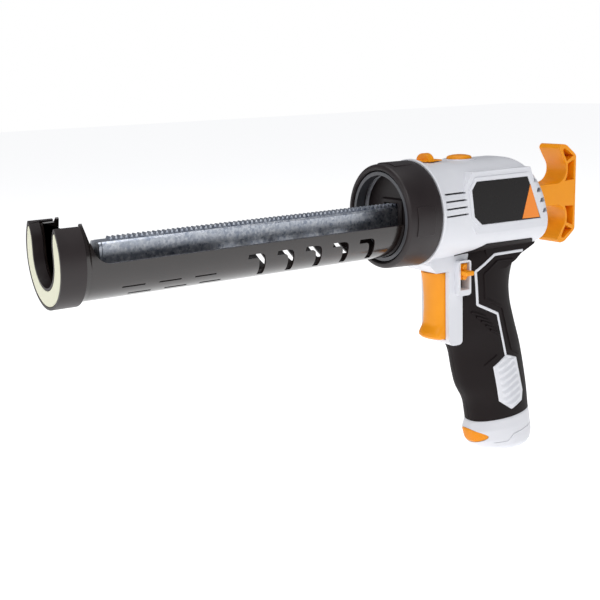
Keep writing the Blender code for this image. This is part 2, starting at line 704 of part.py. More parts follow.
def housing_halves():
    """Two moulded halves that meet on the seam plane."""
    whole = body_form("whole", 0.0)
    flange = turned_solid("flange", [(BODY_FRONT, 0), (BODY_FRONT, FLANGE_R), (BODY_FRONT + 0.0020, FLANGE_R),
                                     (BODY_FRONT + 0.0034, FLANGE_R - 0.0030), (BODY_FRONT + 0.0034, 0)],
                          "X", (0, 0, 0), None, 36)
    nose = rod_between("nose", NOSE_R - 0.0001, "X", (0, 0, 0), NOSE_FRONT, BODY_FRONT + 0.001, None, 36)
    core = grip_form("core", CORE_INSET, -0.0240, GRIP_END_FRONT + GAP, GRIP_END_REAR + GAP)
    frame = frame_form("frame")
    window = window_form("window")
    boss = turned_solid("boss", [(0.030, 0), (0.030, BUTTON_R + 0.0028), (BODY_TOP + 0.0006, BUTTON_R + 0.0024),
                                 (BODY_TOP + 0.0006, 0)], "Z", (BUTTON_X, 0, 0), None, 24)
    pad = prism("pad", label_outline(0.0025), "Y", -BODY_HALF, BODY_HALF)
    join(whole, flange, nose, core, frame, window, boss, pad)
    halves = split(whole, "housing", "white_plastic")
    for half, side in zip(halves, (-1, 1)):
        cut(half, *shell_cutters())
        join(half, *screw_posts(side))
        cut(half, *screw_bores(side))
    return halves


def screw_posts(side):
    """Posts inside a housing half that the case screws go through."""
    tools = []
    for x, z, length in SCREWS:
        low, high = sorted((side * GAP / 2, side * length))
        tools.append(rod_between("post", SCREW_POST_R, "Y", (x, 0, z), low, high, None, 10))
    return tools


def screw_bores(side):
    """Clearance bore and head bore on the right, blind bore on the left."""
    tools = []
    for x, z, _ in SCREWS:
        if side > 0:
            tools.append(rod_between("bore", SCREW_R + GAP, "Y", (x, 0, z), -0.001, SCREW_SEAT + 0.001, None, 10))
            tools.append(rod_between("head", SCREW_HEAD_R + GAP, "Y", (x, 0, z), SCREW_SEAT, 0.05, None, 10))
        else:
            tools.append(rod_between("bore", SCREW_R + GAP, "Y", (x, 0, z), -0.0110, 0.001, None, 10))
    return tools


def case_screws():
    """Four screws that hold the housing halves together, driven from the right."""
    made = []
    for k, (x, z, _) in enumerate(SCREWS):
        seat = SCREW_SEAT + GAP
        profile = [(-0.0100, 0), (-0.0100, SCREW_R), (seat, SCREW_R), (seat, SCREW_HEAD_R),
                   (seat + 0.0018, SCREW_HEAD_R), (seat + 0.0018, 0)]
        made.append(turned_solid("case_screw_%d" % (k + 1), profile, "Y", (x, 0, z), "steel", 10))
    return made


def grip_covers():
    """Soft rubber skins over the left and right of the grip."""
    outer = grip_form("outer", 0.0, -0.0225, GRIP_END_FRONT + GAP, GRIP_END_REAR + GAP)
    wing = wing_form()
    join(outer, wing)
    core = grip_form("core", RUBBER, -0.0180, GRIP_END_FRONT - 0.004, GRIP_END_REAR - 0.004)
    cut(outer, core, body_form("body", -GAP), frame_form("frame", GAP), window_form("window", GAP))
    covers = split(outer, "grip_cover", "rubber")
    x, z, _ = SCREWS[3]
    cut(covers[1], rod_between("head", SCREW_HEAD_R + 0.0006, "Y", (x, 0, z), 0.004, 0.05, None, 10))
    return covers


def wing_form():
    """Rubber under the housing's overhang at the rear of the grip."""
    x = BODY_FRONT
    outline = [(x + 0.0462, -0.0260), (x + 0.0912, -0.0260), (x + 0.0922, -0.0305), (x + 0.0822, -0.0350),
               (x + 0.0722, -0.0440), (x + 0.0462, -0.0440)]
    return prism("wing", outline, "Y", -0.0150, 0.0150)


# ---- controls -----------------------------------------------------------------------------------
def trigger():
    """Moulded trigger with a rounded front and a toe, bored behind for its spring."""
    x = TRIGGER_FACE
    rows = [(TRIGGER_TOP, x - 0.0025), (-0.0520, x - 0.0005), (-0.0700, x), (-0.0820, x - 0.0010),
            (-0.0880, x - 0.0045), (TRIGGER_BOTTOM + 0.0022, x - 0.0037), (TRIGGER_BOTTOM + 0.0024, x - 0.0005)]
    depth = 0.0075
    turns = [radians(-90 + 180 * k / 8) for k in range(9)]
    loops = []
    for z, front in rows:
        nose = [(front + depth - depth * cos(t), TRIGGER_HALF * sin(t), z) for t in turns]
        loops.append(nose + [(TRIGGER_REAR, TRIGGER_HALF, z), (TRIGGER_REAR, -TRIGGER_HALF, z)])
    body = loft("trigger", loops, "orange_plastic")
    bore = rod_between("bore", 0.0034, "X", (TRIGGER_REAR, 0, -0.0600), -TRIGGER_TRAVEL - 0.0004, 0.001, None, 12)
    return cut(body, bore)


def trigger_switch():
    """Switch body behind the trigger."""
    x = TRIGGER_REAR + TRIGGER_TRAVEL + 0.0020
    half = GRIP_HALF - 0.0105
    return block("trigger_switch", (x, -half, -0.0860), (x + 0.0150, half, -0.0480), "black_plastic", 0.0008)


def trigger_spring():
    """Return spring between the switch and the bottom of the trigger's bore."""
    low, high = TRIGGER_REAR + GAP, TRIGGER_REAR + TRIGGER_TRAVEL + 0.0020 - GAP
    return coil("trigger_spring", 0.0026, 0.0006, 4, "X", (0, 0, -0.0600), low, high, "steel")


def direction_selector():
    """Orange slider in the left window, with a thumb tab."""
    y = -GRIP_HALF
    body = block("direction_selector", (SWITCH_X - 0.0036, y + 0.0012, -0.0475),
                 (SWITCH_X + 0.0036, y + 0.0068, -0.0362), "orange_plastic")
    tab = block("tab", (SWITCH_X - 0.0036, y - 0.0062, -0.0440), (SWITCH_X + 0.0034, y + 0.0020, -0.0408),
                None, 0.0006)
    return join(body, tab)


def release_button():
    """Low round button on top that frees the rod from the drive."""
    z = BODY_TOP
    profile = [(z - 0.0010, 0), (z - 0.0010, BUTTON_R), (z + 0.0018, BUTTON_R), (z + 0.0030, BUTTON_R - 0.0022),
               (z + 0.0034, BUTTON_R - 0.0050), (z + 0.0034, 0)]
    return turned_solid("release_button", profile, "Z", (BUTTON_X, 0, 0), "orange_plastic", 24)


def release_spring():
    """Spring under the release button, standing on the rod's upper guide."""
    low = 0.0165
    return coil("release_spring", 0.0030, 0.0006, 5, "Z", (BUTTON_X, 0, 0), low, BODY_TOP - 0.0013, "steel")


def spring_seat():
    """Bridge over the rod that the release spring stands on."""
    top = 0.0162
    return block("spring_seat", (BUTTON_X - 0.0045, -0.0262, top - 0.0030), (BUTTON_X + 0.0045, 0.0070, top),
                 "steel", 0.0005)


def cradle_lock_slider():
    """Thin slide on top with an upright rounded thumb tab."""
    z = BODY_TOP
    plate = block("cradle_lock_slider", (LOCK_X - 0.0052, -0.0056, z + 0.0006),
                  (LOCK_X + 0.0110, 0.0056, z + 0.0016), "orange_plastic")
    rounded = [(1.24 * a, b) for a, b in arc((0, z + 0.0006), 0.0056, 0, pi, 8)]
    tab = prism("tab", rounded, "X", LOCK_X - 0.0012, LOCK_X + 0.0034)
    stem = block("stem", (LOCK_X - 0.0010, -0.0041, 0.0305), (LOCK_X + 0.0030, 0.0041, z + 0.0010))
    return join(plate, tab, stem)


# ---- drive --------------------------------------------------------------------------------------
def gear_outline(teeth, module, slack):
    """Straight-flanked gear teeth; a tooth is centred straight down."""
    r = module * teeth / 2
    root, tip = r - 1.15 * module, r + 0.85 * module
    wide, narrow = 2 * pi / teeth * 0.400, 2 * pi / teeth * 0.125
    outline = []
    for k in range(teeth):
        middle = -pi / 2 + 2 * pi * k / teeth
        for radius, turn in ((root, -wide + slack / root), (tip, -narrow + slack / tip),
                             (tip, narrow - slack / tip), (root, wide - slack / root)):
            outline.append((radius * cos(middle + turn), radius * sin(middle + turn)))
    return outline


def drive_pinion():
    """Pinion that drives the rack."""
    outline = gear_outline(PINION_TEETH, MODULE, 0.00010)
    points = [(PINION_X + a, PINION_Z + b) for a, b in outline]
    gear = prism("drive_pinion", points, "Y", -0.0028, 0.0028, "steel")
    cut(gear, rod_between("bore", SHAFT_R + GAP, "Y", (PINION_X, 0, PINION_Z), -0.01, 0.01, None, 16))
    return set_origin(gear, (PINION_X, 0, PINION_Z))


def drive_shaft():
    """Cross shaft that carries the pinion and the worm wheel."""
    shaft = rod_between("drive_shaft", SHAFT_R, "Y", (PINION_X, 0, PINION_Z), -0.0150, 0.0215, "steel", 16)
    return set_origin(shaft, (PINION_X, 0, PINION_Z))


def worm_wheel():
    """Worm wheel on the drive shaft, shown as its pitch cylinder."""
    profile = [(DRIVE_Y - 0.0023, SHAFT_R + GAP), (DRIVE_Y - 0.0023, WHEEL_R), (DRIVE_Y + 0.0023, WHEEL_R),
               (DRIVE_Y + 0.0023, SHAFT_R + GAP)]
    wheel = turned("worm_wheel", profile, "Y", (PINION_X, 0, PINION_Z), "brass", 24)
    return set_origin(wheel, (PINION_X, 0, PINION_Z))


def shaft_bearings():
    """Two plain bearings, one near each end of the drive shaft."""
    made = []
    for name, y in (("shaft_bearing_left", -0.0130), ("shaft_bearing_right", 0.0125)):
        profile = [(y - 0.0015, SHAFT_R + RUN), (y - 0.0015, 0.0060), (y + 0.0015, 0.0060), (y + 0.0015, SHAFT_R + RUN)]
        made.append(turned(name, profile, "Y", (PINION_X, 0, PINION_Z), "brass", 20))
    return made


def worm_shaft():
    """Worm on the gearbox's output shaft, shown as its pitch cylinder."""
    start = PINION_X - 0.0080
    profile = [(start, 0), (start, WORM_R), (PINION_X + 0.0080, WORM_R), (PINION_X + 0.0080, 0.0020),
               (GEARBOX_FRONT + 0.0026, 0.0020), (GEARBOX_FRONT + 0.0026, 0)]
    return turned_solid("worm_shaft", profile, "X", (0, DRIVE_Y, WORM_Z), "steel", 16)


def gearbox():
    """Sealed planetary reduction in a round can."""
    front = GEARBOX_FRONT
    profile = [(front, 0.0020 + RUN), (front, MOTOR_R - 0.001), (front + 0.001, MOTOR_R), (front + 0.0140, MOTOR_R),
               (front + 0.0140, 0.0040), (front + 0.0032, 0.0040), (front + 0.0032, 0.0020 + RUN)]
    return turned("gearbox", profile, "X", (0, DRIVE_Y, WORM_Z), "steel", 20)


def motor():
    """Small direct-current motor behind the gearbox."""
    front = GEARBOX_FRONT + 0.0143
    profile = [(front, 0), (front, MOTOR_R), (front + 0.0250, MOTOR_R), (front + 0.0250, 0.0040),
               (front + 0.0275, 0.0040), (front + 0.0275, 0)]
    return turned_solid("motor", profile, "X", (0, DRIVE_Y, WORM_Z), "steel", 20)


def guide_bushes():
    """Plastic guides that the rod slides in, at the nose and at the rear of the housing."""
    made = []
    inner_y = ROD_WIDTH / 2 + RUN
    low, high = ROD_BOTTOM - RUN, PITCH_LINE + MODULE + RUN
    plate_r = NOSE_R - 0.0030
    plate = rod_between("front_guide", plate_r, "X", (0, 0, 0), NOSE_FRONT + 0.0010, NOSE_FRONT + 0.0040,
                        "black_plastic", 32)
    collar = block("collar", (NOSE_FRONT - 0.0008, -0.0105, -0.0105), (NOSE_FRONT + 0.0100, 0.0105, 0.0115),
                   None, 0.0010)
    join(plate, collar)
    made.append(cut(plate, block("way", (NOSE_FRONT - 0.01, -inner_y, low), (NOSE_FRONT + 0.02, inner_y, high))))
    rear = block("rear_guide", (BODY_REAR - 0.0240, -0.0100, -0.0105), (BODY_REAR - 0.0140, 0.0100, 0.0125),
                 "black_plastic", 0.0008)
    made.append(cut(rear, block("way", (BODY_REAR - 0.05, -inner_y, low), (BODY_REAR, inner_y, high))))
    return made


def circuit_board():
    """Control board at the rear of the housing's lower hollow."""
    x = BODY_FRONT + 0.0482
    return block("circuit_board", (x, -0.0110, -0.0225), (x + 0.0320, 0.0050, -0.0209), "circuit_green")


# ---- battery ------------------------------------------------------------------------------------
def stick_point(z):
    """Middle of the battery stick at height z, on its straight slide line."""
    return STICK_X + (STICK_Z - z) * tan(BATTERY_LEAN)


def base_form(name, inset, finish=None):
    """The base's form, from the sloping seat on the grip down to the flat foot."""
    table = [
        (0.0, 0.0474, 0.1038, -0.0004), (0.30, 0.0447, 0.1052, 0.0006), (0.62, 0.0467, 0.1066, 0.0006),
        (0.82, 0.0502, 0.1057, -0.0002), (0.95, 0.0562, 0.1012, -0.0030), (1.0, 0.0632, 0.0942, -0.0070)]
    loops = []
    for share, front, rear, wider in table:
        loop = []
        middle, reach = BODY_FRONT + (front + rear) / 2, (rear - front) / 2
        for a, b in oval(reach - inset, GRIP_HALF + wider - inset, 2.4, 24):
            top = GRIP_END_FRONT + (GRIP_END_REAR - GRIP_END_FRONT) * (a / reach + 1) / 2
            loop.append((middle + a, b, top + (BASE_BOTTOM - top) * share))
        loops.append(loop)
    return loft(name, loops, finish)


def latch_form(name, grow, depth):
    """A lens seen from the front, running back to a depth behind the latch's rear face."""
    outline = [(a, LATCH_Z + b) for a, b in oval(LATCH_HALF + grow, 0.0052 + grow, 2.0, 20)]
    return prism(name, outline, "X", BODY_FRONT + 0.0350, LATCH_X + depth)


def battery_base():
    """White base of the battery, outside the grip, with the latch's pocket in its front."""
    return cut(base_form("battery_base", 0.0, "white_plastic"), latch_form("pocket", RUN, LATCH_ROOM))


def battery_latch():
    """Orange latch button that follows the base's front, bored behind for its spring."""
    button = latch_form("battery_latch", 0.0, 0.0)
    combine(button, [base_form("skin", GAP)], "INTERSECT")
    cut(button, rod_between("bore", 0.0025, "X", (LATCH_X, 0, LATCH_Z), -LATCH_TRAVEL - 0.0006, 0.001, None, 12))
    button.data.materials.clear()
    button.data.materials.append(FINISH["orange_plastic"])
    return button


def latch_spring():
    """Spring between the latch and the bottom of its pocket."""
    low, high = LATCH_X + GAP, LATCH_X + LATCH_ROOM - GAP
    return coil("latch_spring", 0.0018, 0.0005, 3, "X", (0, 0, LATCH_Z), low, high, "steel")


def battery_shell():
    """Hollow stick that goes up into the grip, open at its lower end onto the base."""
    bottom = GRIP_END_FRONT + 0.0012
    outer = stick_form("battery_shell", 0.0, bottom, STICK_TOP)
    outer.data.materials.append(FINISH["black_plastic"])
    hollow = stick_form("hollow", 0.0012, bottom - 0.002, STICK_TOP - 0.0012)
    return cut(outer, hollow)


def stick_form(name, inset, bottom, top):
    """Oval column that leans along the battery's slide line."""
    loops = []
    for z in (top, bottom):
        middle = stick_point(z)
        loop = []
        for a, b in oval(STICK_A - inset, STICK_B - inset, 2.6, 20):
            lift = (GRIP_END_REAR - GRIP_END_FRONT) * (a / STICK_A + 1) / 2 if z == bottom else 0.0
            loop.append((middle + a - lift * tan(BATTERY_LEAN), b, z + lift))
        loops.append(loop)
    return loft(name, loops)


def battery_cells():
    """Three cells side by side inside the stick."""
    made = []
    lean = Matrix.Rotation(-BATTERY_LEAN, 4, "Y")
    for k in range(3):
        cell = rod_between("battery_cell_%d" % (k + 1), 0.0058, "Z", (0, 0, 0), -0.0250, 0.0250, "cell_wrap", 16)
        z = -0.1268 + 0.0029 * (k - 1)
        cell.data.transform(lean)
        cell.location = (stick_point(z) + (k - 1) * 0.0124, 0, z)
        made.append(cell)
    return made


def battery_contacts():
    """Brass blades in the grip above the battery."""
    x = stick_point(STICK_TOP + 0.003)
    return block("battery_contacts", (x - 0.0080, -0.0050, STICK_TOP + 0.0010),
                 (x + 0.0080, 0.0050, STICK_TOP + 0.0030), "brass")


def label_outline(grow=0.0):
    """Six-sided label outline on the housing's side, in (x, z)."""
    g = grow
    return [(BODY_FRONT + 0.0272 - g, 0.0150), (BODY_FRONT + 0.0312 - g / 2, 0.0206 + g),
            (BODY_FRONT + 0.0772 + g / 2, 0.0206 + g), (BODY_FRONT + 0.0902 + g, -0.0095 - g),
            (BODY_FRONT + 0.0362 - g / 2, -0.0088 - g), (BODY_FRONT + 0.0297 - g, -0.0030)]


def label_panels():
    """Thin dark panels on the raised pads at both sides of the housing."""
    made = []
    outline = label_outline()
    for name, side in (("label_panel_left", -1), ("label_panel_right", 1)):
        low, high = sorted((side * (BODY_HALF + GAP), side * (BODY_HALF + 0.0008)))
        made.append(prism(name, outline, "Y", low, high, "label"))
    return made


def build():
    clear_scene()
    FINISH.update(finishes())
    front_cap()
    glow_ring()
    cradle()
    cradle_flange()
    collar_nut()
    push_rod()
    rod_end_plate()
    t_handle()
    handle_pin()
    housing_halves()
    grip_covers()
    case_screws()
    label_panels()
    trigger()
    trigger_switch()
    trigger_spring()
    direction_selector()
    release_button()
    release_spring()
    spring_seat()
    cradle_lock_slider()
    drive_pinion()
    drive_shaft()
    worm_wheel()
    shaft_bearings()
    worm_shaft()
    gearbox()
    motor()
    guide_bushes()
    circuit_board()
    battery_base()
    battery_latch()
    latch_spring()
    battery_shell()
    battery_cells()
    battery_contacts()


build()
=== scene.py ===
"""Looks of a cordless caulking gun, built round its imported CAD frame. Metres, +X to the handle end, +Z up."""
import bmesh
import bpy
import numpy as np
from mathutils import Matrix, Vector
from mathutils.bvhtree import BVHTree


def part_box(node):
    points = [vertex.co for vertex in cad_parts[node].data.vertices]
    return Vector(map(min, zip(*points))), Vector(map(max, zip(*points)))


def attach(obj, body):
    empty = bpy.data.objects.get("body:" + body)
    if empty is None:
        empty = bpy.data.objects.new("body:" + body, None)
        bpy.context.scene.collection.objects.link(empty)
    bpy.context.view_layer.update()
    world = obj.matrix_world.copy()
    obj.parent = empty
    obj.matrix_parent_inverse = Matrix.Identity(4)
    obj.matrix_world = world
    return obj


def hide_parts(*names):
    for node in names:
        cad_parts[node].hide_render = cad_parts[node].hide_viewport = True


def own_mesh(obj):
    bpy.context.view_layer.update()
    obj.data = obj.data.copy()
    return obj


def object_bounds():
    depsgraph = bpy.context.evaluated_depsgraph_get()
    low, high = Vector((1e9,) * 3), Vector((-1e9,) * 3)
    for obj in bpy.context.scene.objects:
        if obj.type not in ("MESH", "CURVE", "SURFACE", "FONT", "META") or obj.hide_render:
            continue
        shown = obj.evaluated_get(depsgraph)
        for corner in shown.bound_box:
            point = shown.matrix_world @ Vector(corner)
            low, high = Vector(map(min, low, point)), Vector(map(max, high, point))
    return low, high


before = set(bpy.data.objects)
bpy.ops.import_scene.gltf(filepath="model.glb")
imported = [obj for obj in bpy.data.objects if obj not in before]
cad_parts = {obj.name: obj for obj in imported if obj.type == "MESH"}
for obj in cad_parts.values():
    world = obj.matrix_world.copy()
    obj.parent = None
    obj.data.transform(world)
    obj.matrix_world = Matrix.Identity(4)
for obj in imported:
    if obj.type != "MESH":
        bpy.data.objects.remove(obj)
cad_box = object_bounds()

# ==== studio ======================================================================================
# A pale sweep of floor, one broad soft key lamp from the front left and two weaker fills.
# The camera looks slightly down along the barrel from the nozzle end.


def linear(code):
    """Linear RGBA of an sRGB hex colour: v / 12.92 when small, else ((v + 0.055) / 1.055) ** 2.4."""
    value = np.array([int(code[i:i + 2], 16) for i in (1, 3, 5)]) / 255
    curved = np.where(value <= 0.04045, value / 12.92, ((value + 0.055) / 1.055) ** 2.4)
    return (*curved.tolist(), 1.0)


def add(tree, kind, feeds=None, **settings):
    """Adds a node, sets its properties, and feeds its inputs from constants or other nodes' outputs."""
    made = tree.nodes.new(kind)
    for key, value in settings.items():
        setattr(made, key, value)
    for key, value in (feeds or {}).items():
        if isinstance(value, bpy.types.NodeSocket):
            tree.links.new(value, made.inputs[key])
        else:
            made.inputs[key].default_value = value
    return made


def finish_of(name, **constants):
    """A new Principled material; gives it, its node tree and its shader."""
    made = bpy.data.materials.new(name)
    made.use_nodes = True
    shader = made.node_tree.nodes["Principled BSDF"]
    for key, value in constants.items():
        shader.inputs[key.replace("_", " ")].default_value = value
    return made, made.node_tree, shader


def coated(made, finish):
    """Leaves one finish on a whole piece, whatever a Boolean's tools brought with them."""
    made.data.materials.clear()
    made.data.materials.append(finish)
    made.data.polygons.foreach_set("material_index", np.zeros(len(made.data.polygons), int))
    return made


CAMERA_AT = Vector((-0.20074, -0.54158, 0.09168))
CAMERA_AIM = Vector((0.13595, 0.00293, -0.04790))
CAMERA_ROLL = np.radians(-2.0)
camera = bpy.data.objects.new("camera", bpy.data.cameras.new("camera"))
camera.data.lens = 61.2
camera.data.sensor_width = 36
camera.data.clip_start = 0.02
ahead = (CAMERA_AIM - CAMERA_AT).normalized()
level = ahead.cross(Vector((0, 0, 1))).normalized()
sideways = level * np.cos(CAMERA_ROLL) + level.cross(ahead) * np.sin(CAMERA_ROLL)
turn = Matrix((sideways, sideways.cross(ahead), -ahead)).transposed()
camera.matrix_world = Matrix.Translation(CAMERA_AT) @ turn.to_4x4()
bpy.context.scene.collection.objects.link(camera)
bpy.context.scene.camera = camera

bpy.context.scene.view_settings.view_transform = "Standard"

world = bpy.data.worlds.new("studio")
bpy.context.scene.world = world
world.use_nodes = True
sky = world.node_tree
sky.nodes.clear()
seen = add(sky, "ShaderNodeBackground", {"Color": linear("#FFFFFF"), "Strength": 1.0})
cast = add(sky, "ShaderNodeBackground", {"Color": linear("#F4F7FF"), "Strength": 0.20})
which = add(sky, "ShaderNodeLightPath")
mixed = add(sky, "ShaderNodeMixShader", {0: which.outputs["Is Camera Ray"], 1: cast.outputs[0], 2: seen.outputs[0]})
add(sky, "ShaderNodeOutputWorld", {"Surface": mixed.outputs[0]})

for lamp_name, place, size, power in (
        ("key", (-0.35, -0.95, 0.95), 0.70, 8.0), ("top", (0.30, 0.15, 1.25), 0.80, 5.5),
        ("fill", (-0.95, 0.10, 0.30), 0.60, 3.0)):
    lamp = bpy.data.objects.new(lamp_name, bpy.data.lights.new(lamp_name, "AREA"))
    lamp.data.energy = power
    lamp.data.size = size
    lamp.location = place
    lamp.rotation_euler = (Vector((0.13, 0, -0.03)) - Vector(place)).to_track_quat("-Z", "Y").to_euler()
    bpy.context.scene.collection.objects.link(lamp)

FLOOR_Z = cad_box[0][2] - 0.0002
paper, _, paper_shader = finish_of("backdrop_paper", Base_Color=linear("#F4F4F4"), Roughness=0.9)
paper_shader.inputs["Emission Color"].default_value = linear("#FFFFFF")
paper_shader.inputs["Emission Strength"].default_value = 0.78
floor_mesh = bpy.data.meshes.new("floor")
floor_mesh.from_pydata([(-6, -6, FLOOR_Z), (6, -6, FLOOR_Z), (6, 6, FLOOR_Z), (-6, 6, FLOOR_Z)], [], [(0, 1, 2, 3)])
floor_mesh.materials.append(paper)
floor = bpy.data.objects.new("floor", floor_mesh)
bpy.context.scene.collection.objects.link(floor)


# ==== nozzle cap ==================================================================================
# A slotted end cap moulded in black glass-filled nylon. It is pressed over the half tube's front
# band, and its open-topped slot lets the cartridge's nozzle through.
CAP_FRONT, CAP_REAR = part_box("front_cap")[0].x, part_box("front_cap")[1].x
CAP_R = 0.0290
SLOT_R = 0.0166
ARM_REACH = np.radians(39.5)     # how far the arms rise above level


def clouded(tree, shader, scale, detail, dark, light, smooth, rough):
    """Two close tones in soft clouds, which also vary the roughness; gives the place and the cloud."""
    place = add(tree, "ShaderNodeTexCoord").outputs["Object"]
    cloud = add(tree, "ShaderNodeTexNoise", {"Vector": place, "Scale": scale, "Detail": detail}).outputs[0]
    tone = add(tree, "ShaderNodeMix", {0: cloud, 6: linear(dark), 7: linear(light)}, data_type="RGBA")
    spread = add(tree, "ShaderNodeMapRange", {"Value": cloud, "To Min": smooth, "To Max": rough})
    tree.links.new(tone.outputs[2], shader.inputs["Base Color"])
    tree.links.new(spread.outputs[0], shader.inputs["Roughness"])
    return place, cloud


def relieved(tree, shader, height, strength, depth):
    """Bumps a shader's normal by a height output, to a depth in metres."""
    relief = add(tree, "ShaderNodeBump", {"Height": height, "Strength": strength, "Distance": depth})
    tree.links.new(relief.outputs[0], shader.inputs["Normal"])


def moulded(name, light, dark, roughness, grain, depth, ior=1.50, shine=0.5):
    """Moulded plastic: two close tones in soft clouds 14 mm wide, and a fine spark-eroded grain."""
    made, tree, shader = finish_of(name, IOR=ior, Specular_IOR_Level=shine)
    place, _ = clouded(tree, shader, 70.0, 4.0, dark, light, roughness - 0.06, roughness + 0.06)
    grit = add(tree, "ShaderNodeTexNoise", {"Vector": place, "Scale": 1 / grain, "Detail": 3.0})
    relieved(tree, shader, grit.outputs[0], 0.35, depth)
    return made


def piece(name, points, faces, finish, bevel=0.0, sharp=30.0):
    """An object with its faces out, smooth between sharp edges, and its corners rounded by bevel."""
    mesh = bpy.data.meshes.new(name)
    mesh.from_pydata(np.asarray(points, float).reshape(-1, 3).tolist(), [], faces)
    bm = bmesh.new()
    bm.from_mesh(mesh)
    bmesh.ops.remove_doubles(bm, verts=bm.verts, dist=1e-7)
    bmesh.ops.recalc_face_normals(bm, faces=bm.faces)
    bm.to_mesh(mesh)
    bm.free()
    made = bpy.data.objects.new(name, mesh)
    bpy.context.scene.collection.objects.link(made)
    if finish:
        mesh.materials.append(finish)
    mesh.shade_smooth()
    mesh.set_sharp_from_angle(angle=np.radians(sharp))
    return soften(made, bevel) if bevel else made


def soften(made, width, segments=2, angle=35.0):
    """Rounds the edges that turn by more than an angle."""
    change = made.modifiers.new("edges", "BEVEL")
    change.width = width
    change.segments = segments
    change.limit_method = "ANGLE"
    change.angle_limit = np.radians(angle)
    change.harden_normals = True
    made.data.shade_smooth()
    return made


def ring_faces(rows, count, wrap=False):
    """Four-sided faces between rows of count points that close on themselves; wrap joins last to first."""
    i, j = np.meshgrid(np.arange(rows if wrap else rows - 1), np.arange(count), indexing="ij")
    n, k = (i + 1) % rows, (j + 1) % count
    return np.stack([i * count + j, i * count + k, n * count + k, n * count + j], -1).reshape(-1, 4).tolist()


def lofted(name, rings, finish, **more):
    """A solid through closed rings of equal length, with a flat cap on each end."""
    rings = np.asarray(rings, float)
    rows, count = rings.shape[:2]
    faces = ring_faces(rows, count)
    faces.append(list(range(count)))
    faces.append(list(range((rows - 1) * count, rows * count)))
    return piece(name, rings, faces, finish, **more)


def along(axis, flat, t):
    """Places flat (a, b) points at t on an axis: (t, a, b) for X, (a, t, b) for Y, (a, b, t) for Z."""
    flat = np.asarray(flat, float)
    return np.insert(flat, "XYZ".index(axis), t, axis=-1)


def prism(name, outline, axis, low, high, finish, **more):
    """An outline pushed straight along an axis from low to high."""
    return lofted(name, [along(axis, outline, low), along(axis, outline, high)], finish, **more)


def turned(name, profile, axis, centre, finish, steps=128, **more):
    """A closed (along, radius) profile turned about an axis: a = r cos t, b = r sin t."""
    profile = np.asarray(profile, float)
    t = np.linspace(0, 2 * np.pi, steps, endpoint=False)
    rows = [along(axis, np.stack([r * np.cos(t), r * np.sin(t)], -1), x) for x, r in profile]
    faces = ring_faces(len(profile), steps, wrap=True)
    return piece(name, np.array(rows) + np.array(centre), faces, finish, **more)


def boolean(made, operation, tools):
    """Joins or cuts a solid with each tool in turn and keeps the result as its mesh."""
    for tool in tools:
        change = made.modifiers.new("shape", "BOOLEAN")
        change.solver = "EXACT"
        change.operation = operation
        change.object = tool
        bpy.context.view_layer.update()
        graph = bpy.context.evaluated_depsgraph_get()
        made.data = bpy.data.meshes.new_from_object(made.evaluated_get(graph))
        made.modifiers.clear()
        bpy.data.objects.remove(tool, do_unlink=True)
    made.data.shade_smooth()
    made.data.set_sharp_from_angle(angle=np.radians(30))
    return made


def box_of(low, high, bevel=0.0, name="box", finish=None):
    """A block between two corners."""
    (x0, y0, z0), (x1, y1, z1) = low, high
    base = [(x0, y0), (x1, y0), (x1, y1), (x0, y1)]
    return prism(name, base, "Z", z0, z1, finish, bevel=bevel)


def fit(made, body, slot, *nodes):
    """Says what a piece moves with and which CAD nodes it stands for; the slot argument is not used."""
    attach(made, body)
    if nodes:
        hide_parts(*nodes)
    return made


def arc(centre, radius, start, end, steps):
    """Points on a circle, angles in radians."""
    t = np.linspace(start, end, steps)
    return np.stack([centre[0] + radius * np.cos(t), centre[1] + radius * np.sin(t)], -1)


def c_outline(outer, inner, back=0.0):
    """C shape in (y, z): an outer arc, and a U slot whose arms flare as y = inner + 4.2 mm * s ** 1.8."""
    reach = ARM_REACH - back
    tip_z = outer * np.sin(reach) - 0.0005
    tip_y = outer * np.cos(reach) - 0.0016
    s = np.linspace(0, 1, 10)
    arm = np.stack([inner + (tip_y - inner) * s ** 1.8, 0.008 + (tip_z - 0.008) * s], -1)
    far = arm[::-1] * (-1, 1)
    return np.concatenate([arc((0, 0), outer, reach, -np.pi - reach, 90), far, arc((0, 0), inner, -np.pi, 0, 50), arm])


cap_black = moulded("glass_filled_nylon", "#292122", "#1D1617", 0.46, 0.00035, 0.00004, shine=0.42)
cap = prism("nozzle_cap", c_outline(CAP_R, SLOT_R), "X", CAP_FRONT, CAP_REAR, cap_black)
socket = prism("socket", arc((0, 0), 0.0271, 0, 2 * np.pi, 97)[:-1], "X", CAP_FRONT + 0.0062, CAP_REAR + 0.01, None)
pocket = prism("pocket", c_outline(CAP_R - 0.0017, SLOT_R + 0.0014, np.radians(3)), "X", CAP_FRONT - 0.001,
               CAP_FRONT + 0.0016, None)
boolean(cap, "DIFFERENCE", [socket, pocket])
fit(soften(cap, 0.0005), "cradle", "black_plastic", "front_cap")


# ==== glow ring ===================================================================================
# A pale luminous insert of soft plastic, moulded as a C and pressed into the cap's front face.
ring_pale = moulded("luminous_polypropylene", "#DCDBC3", "#D0CFB4", 0.42, 0.0006, 0.00003, ior=1.49)
ring = prism("glow_ring_face", c_outline(CAP_R - 0.0020, SLOT_R + 0.0017, np.radians(4)), "X", CAP_FRONT,
             CAP_FRONT + 0.0013, ring_pale)
fit(soften(ring, 0.00025), "cradle", "glow_plastic", "glow_ring")


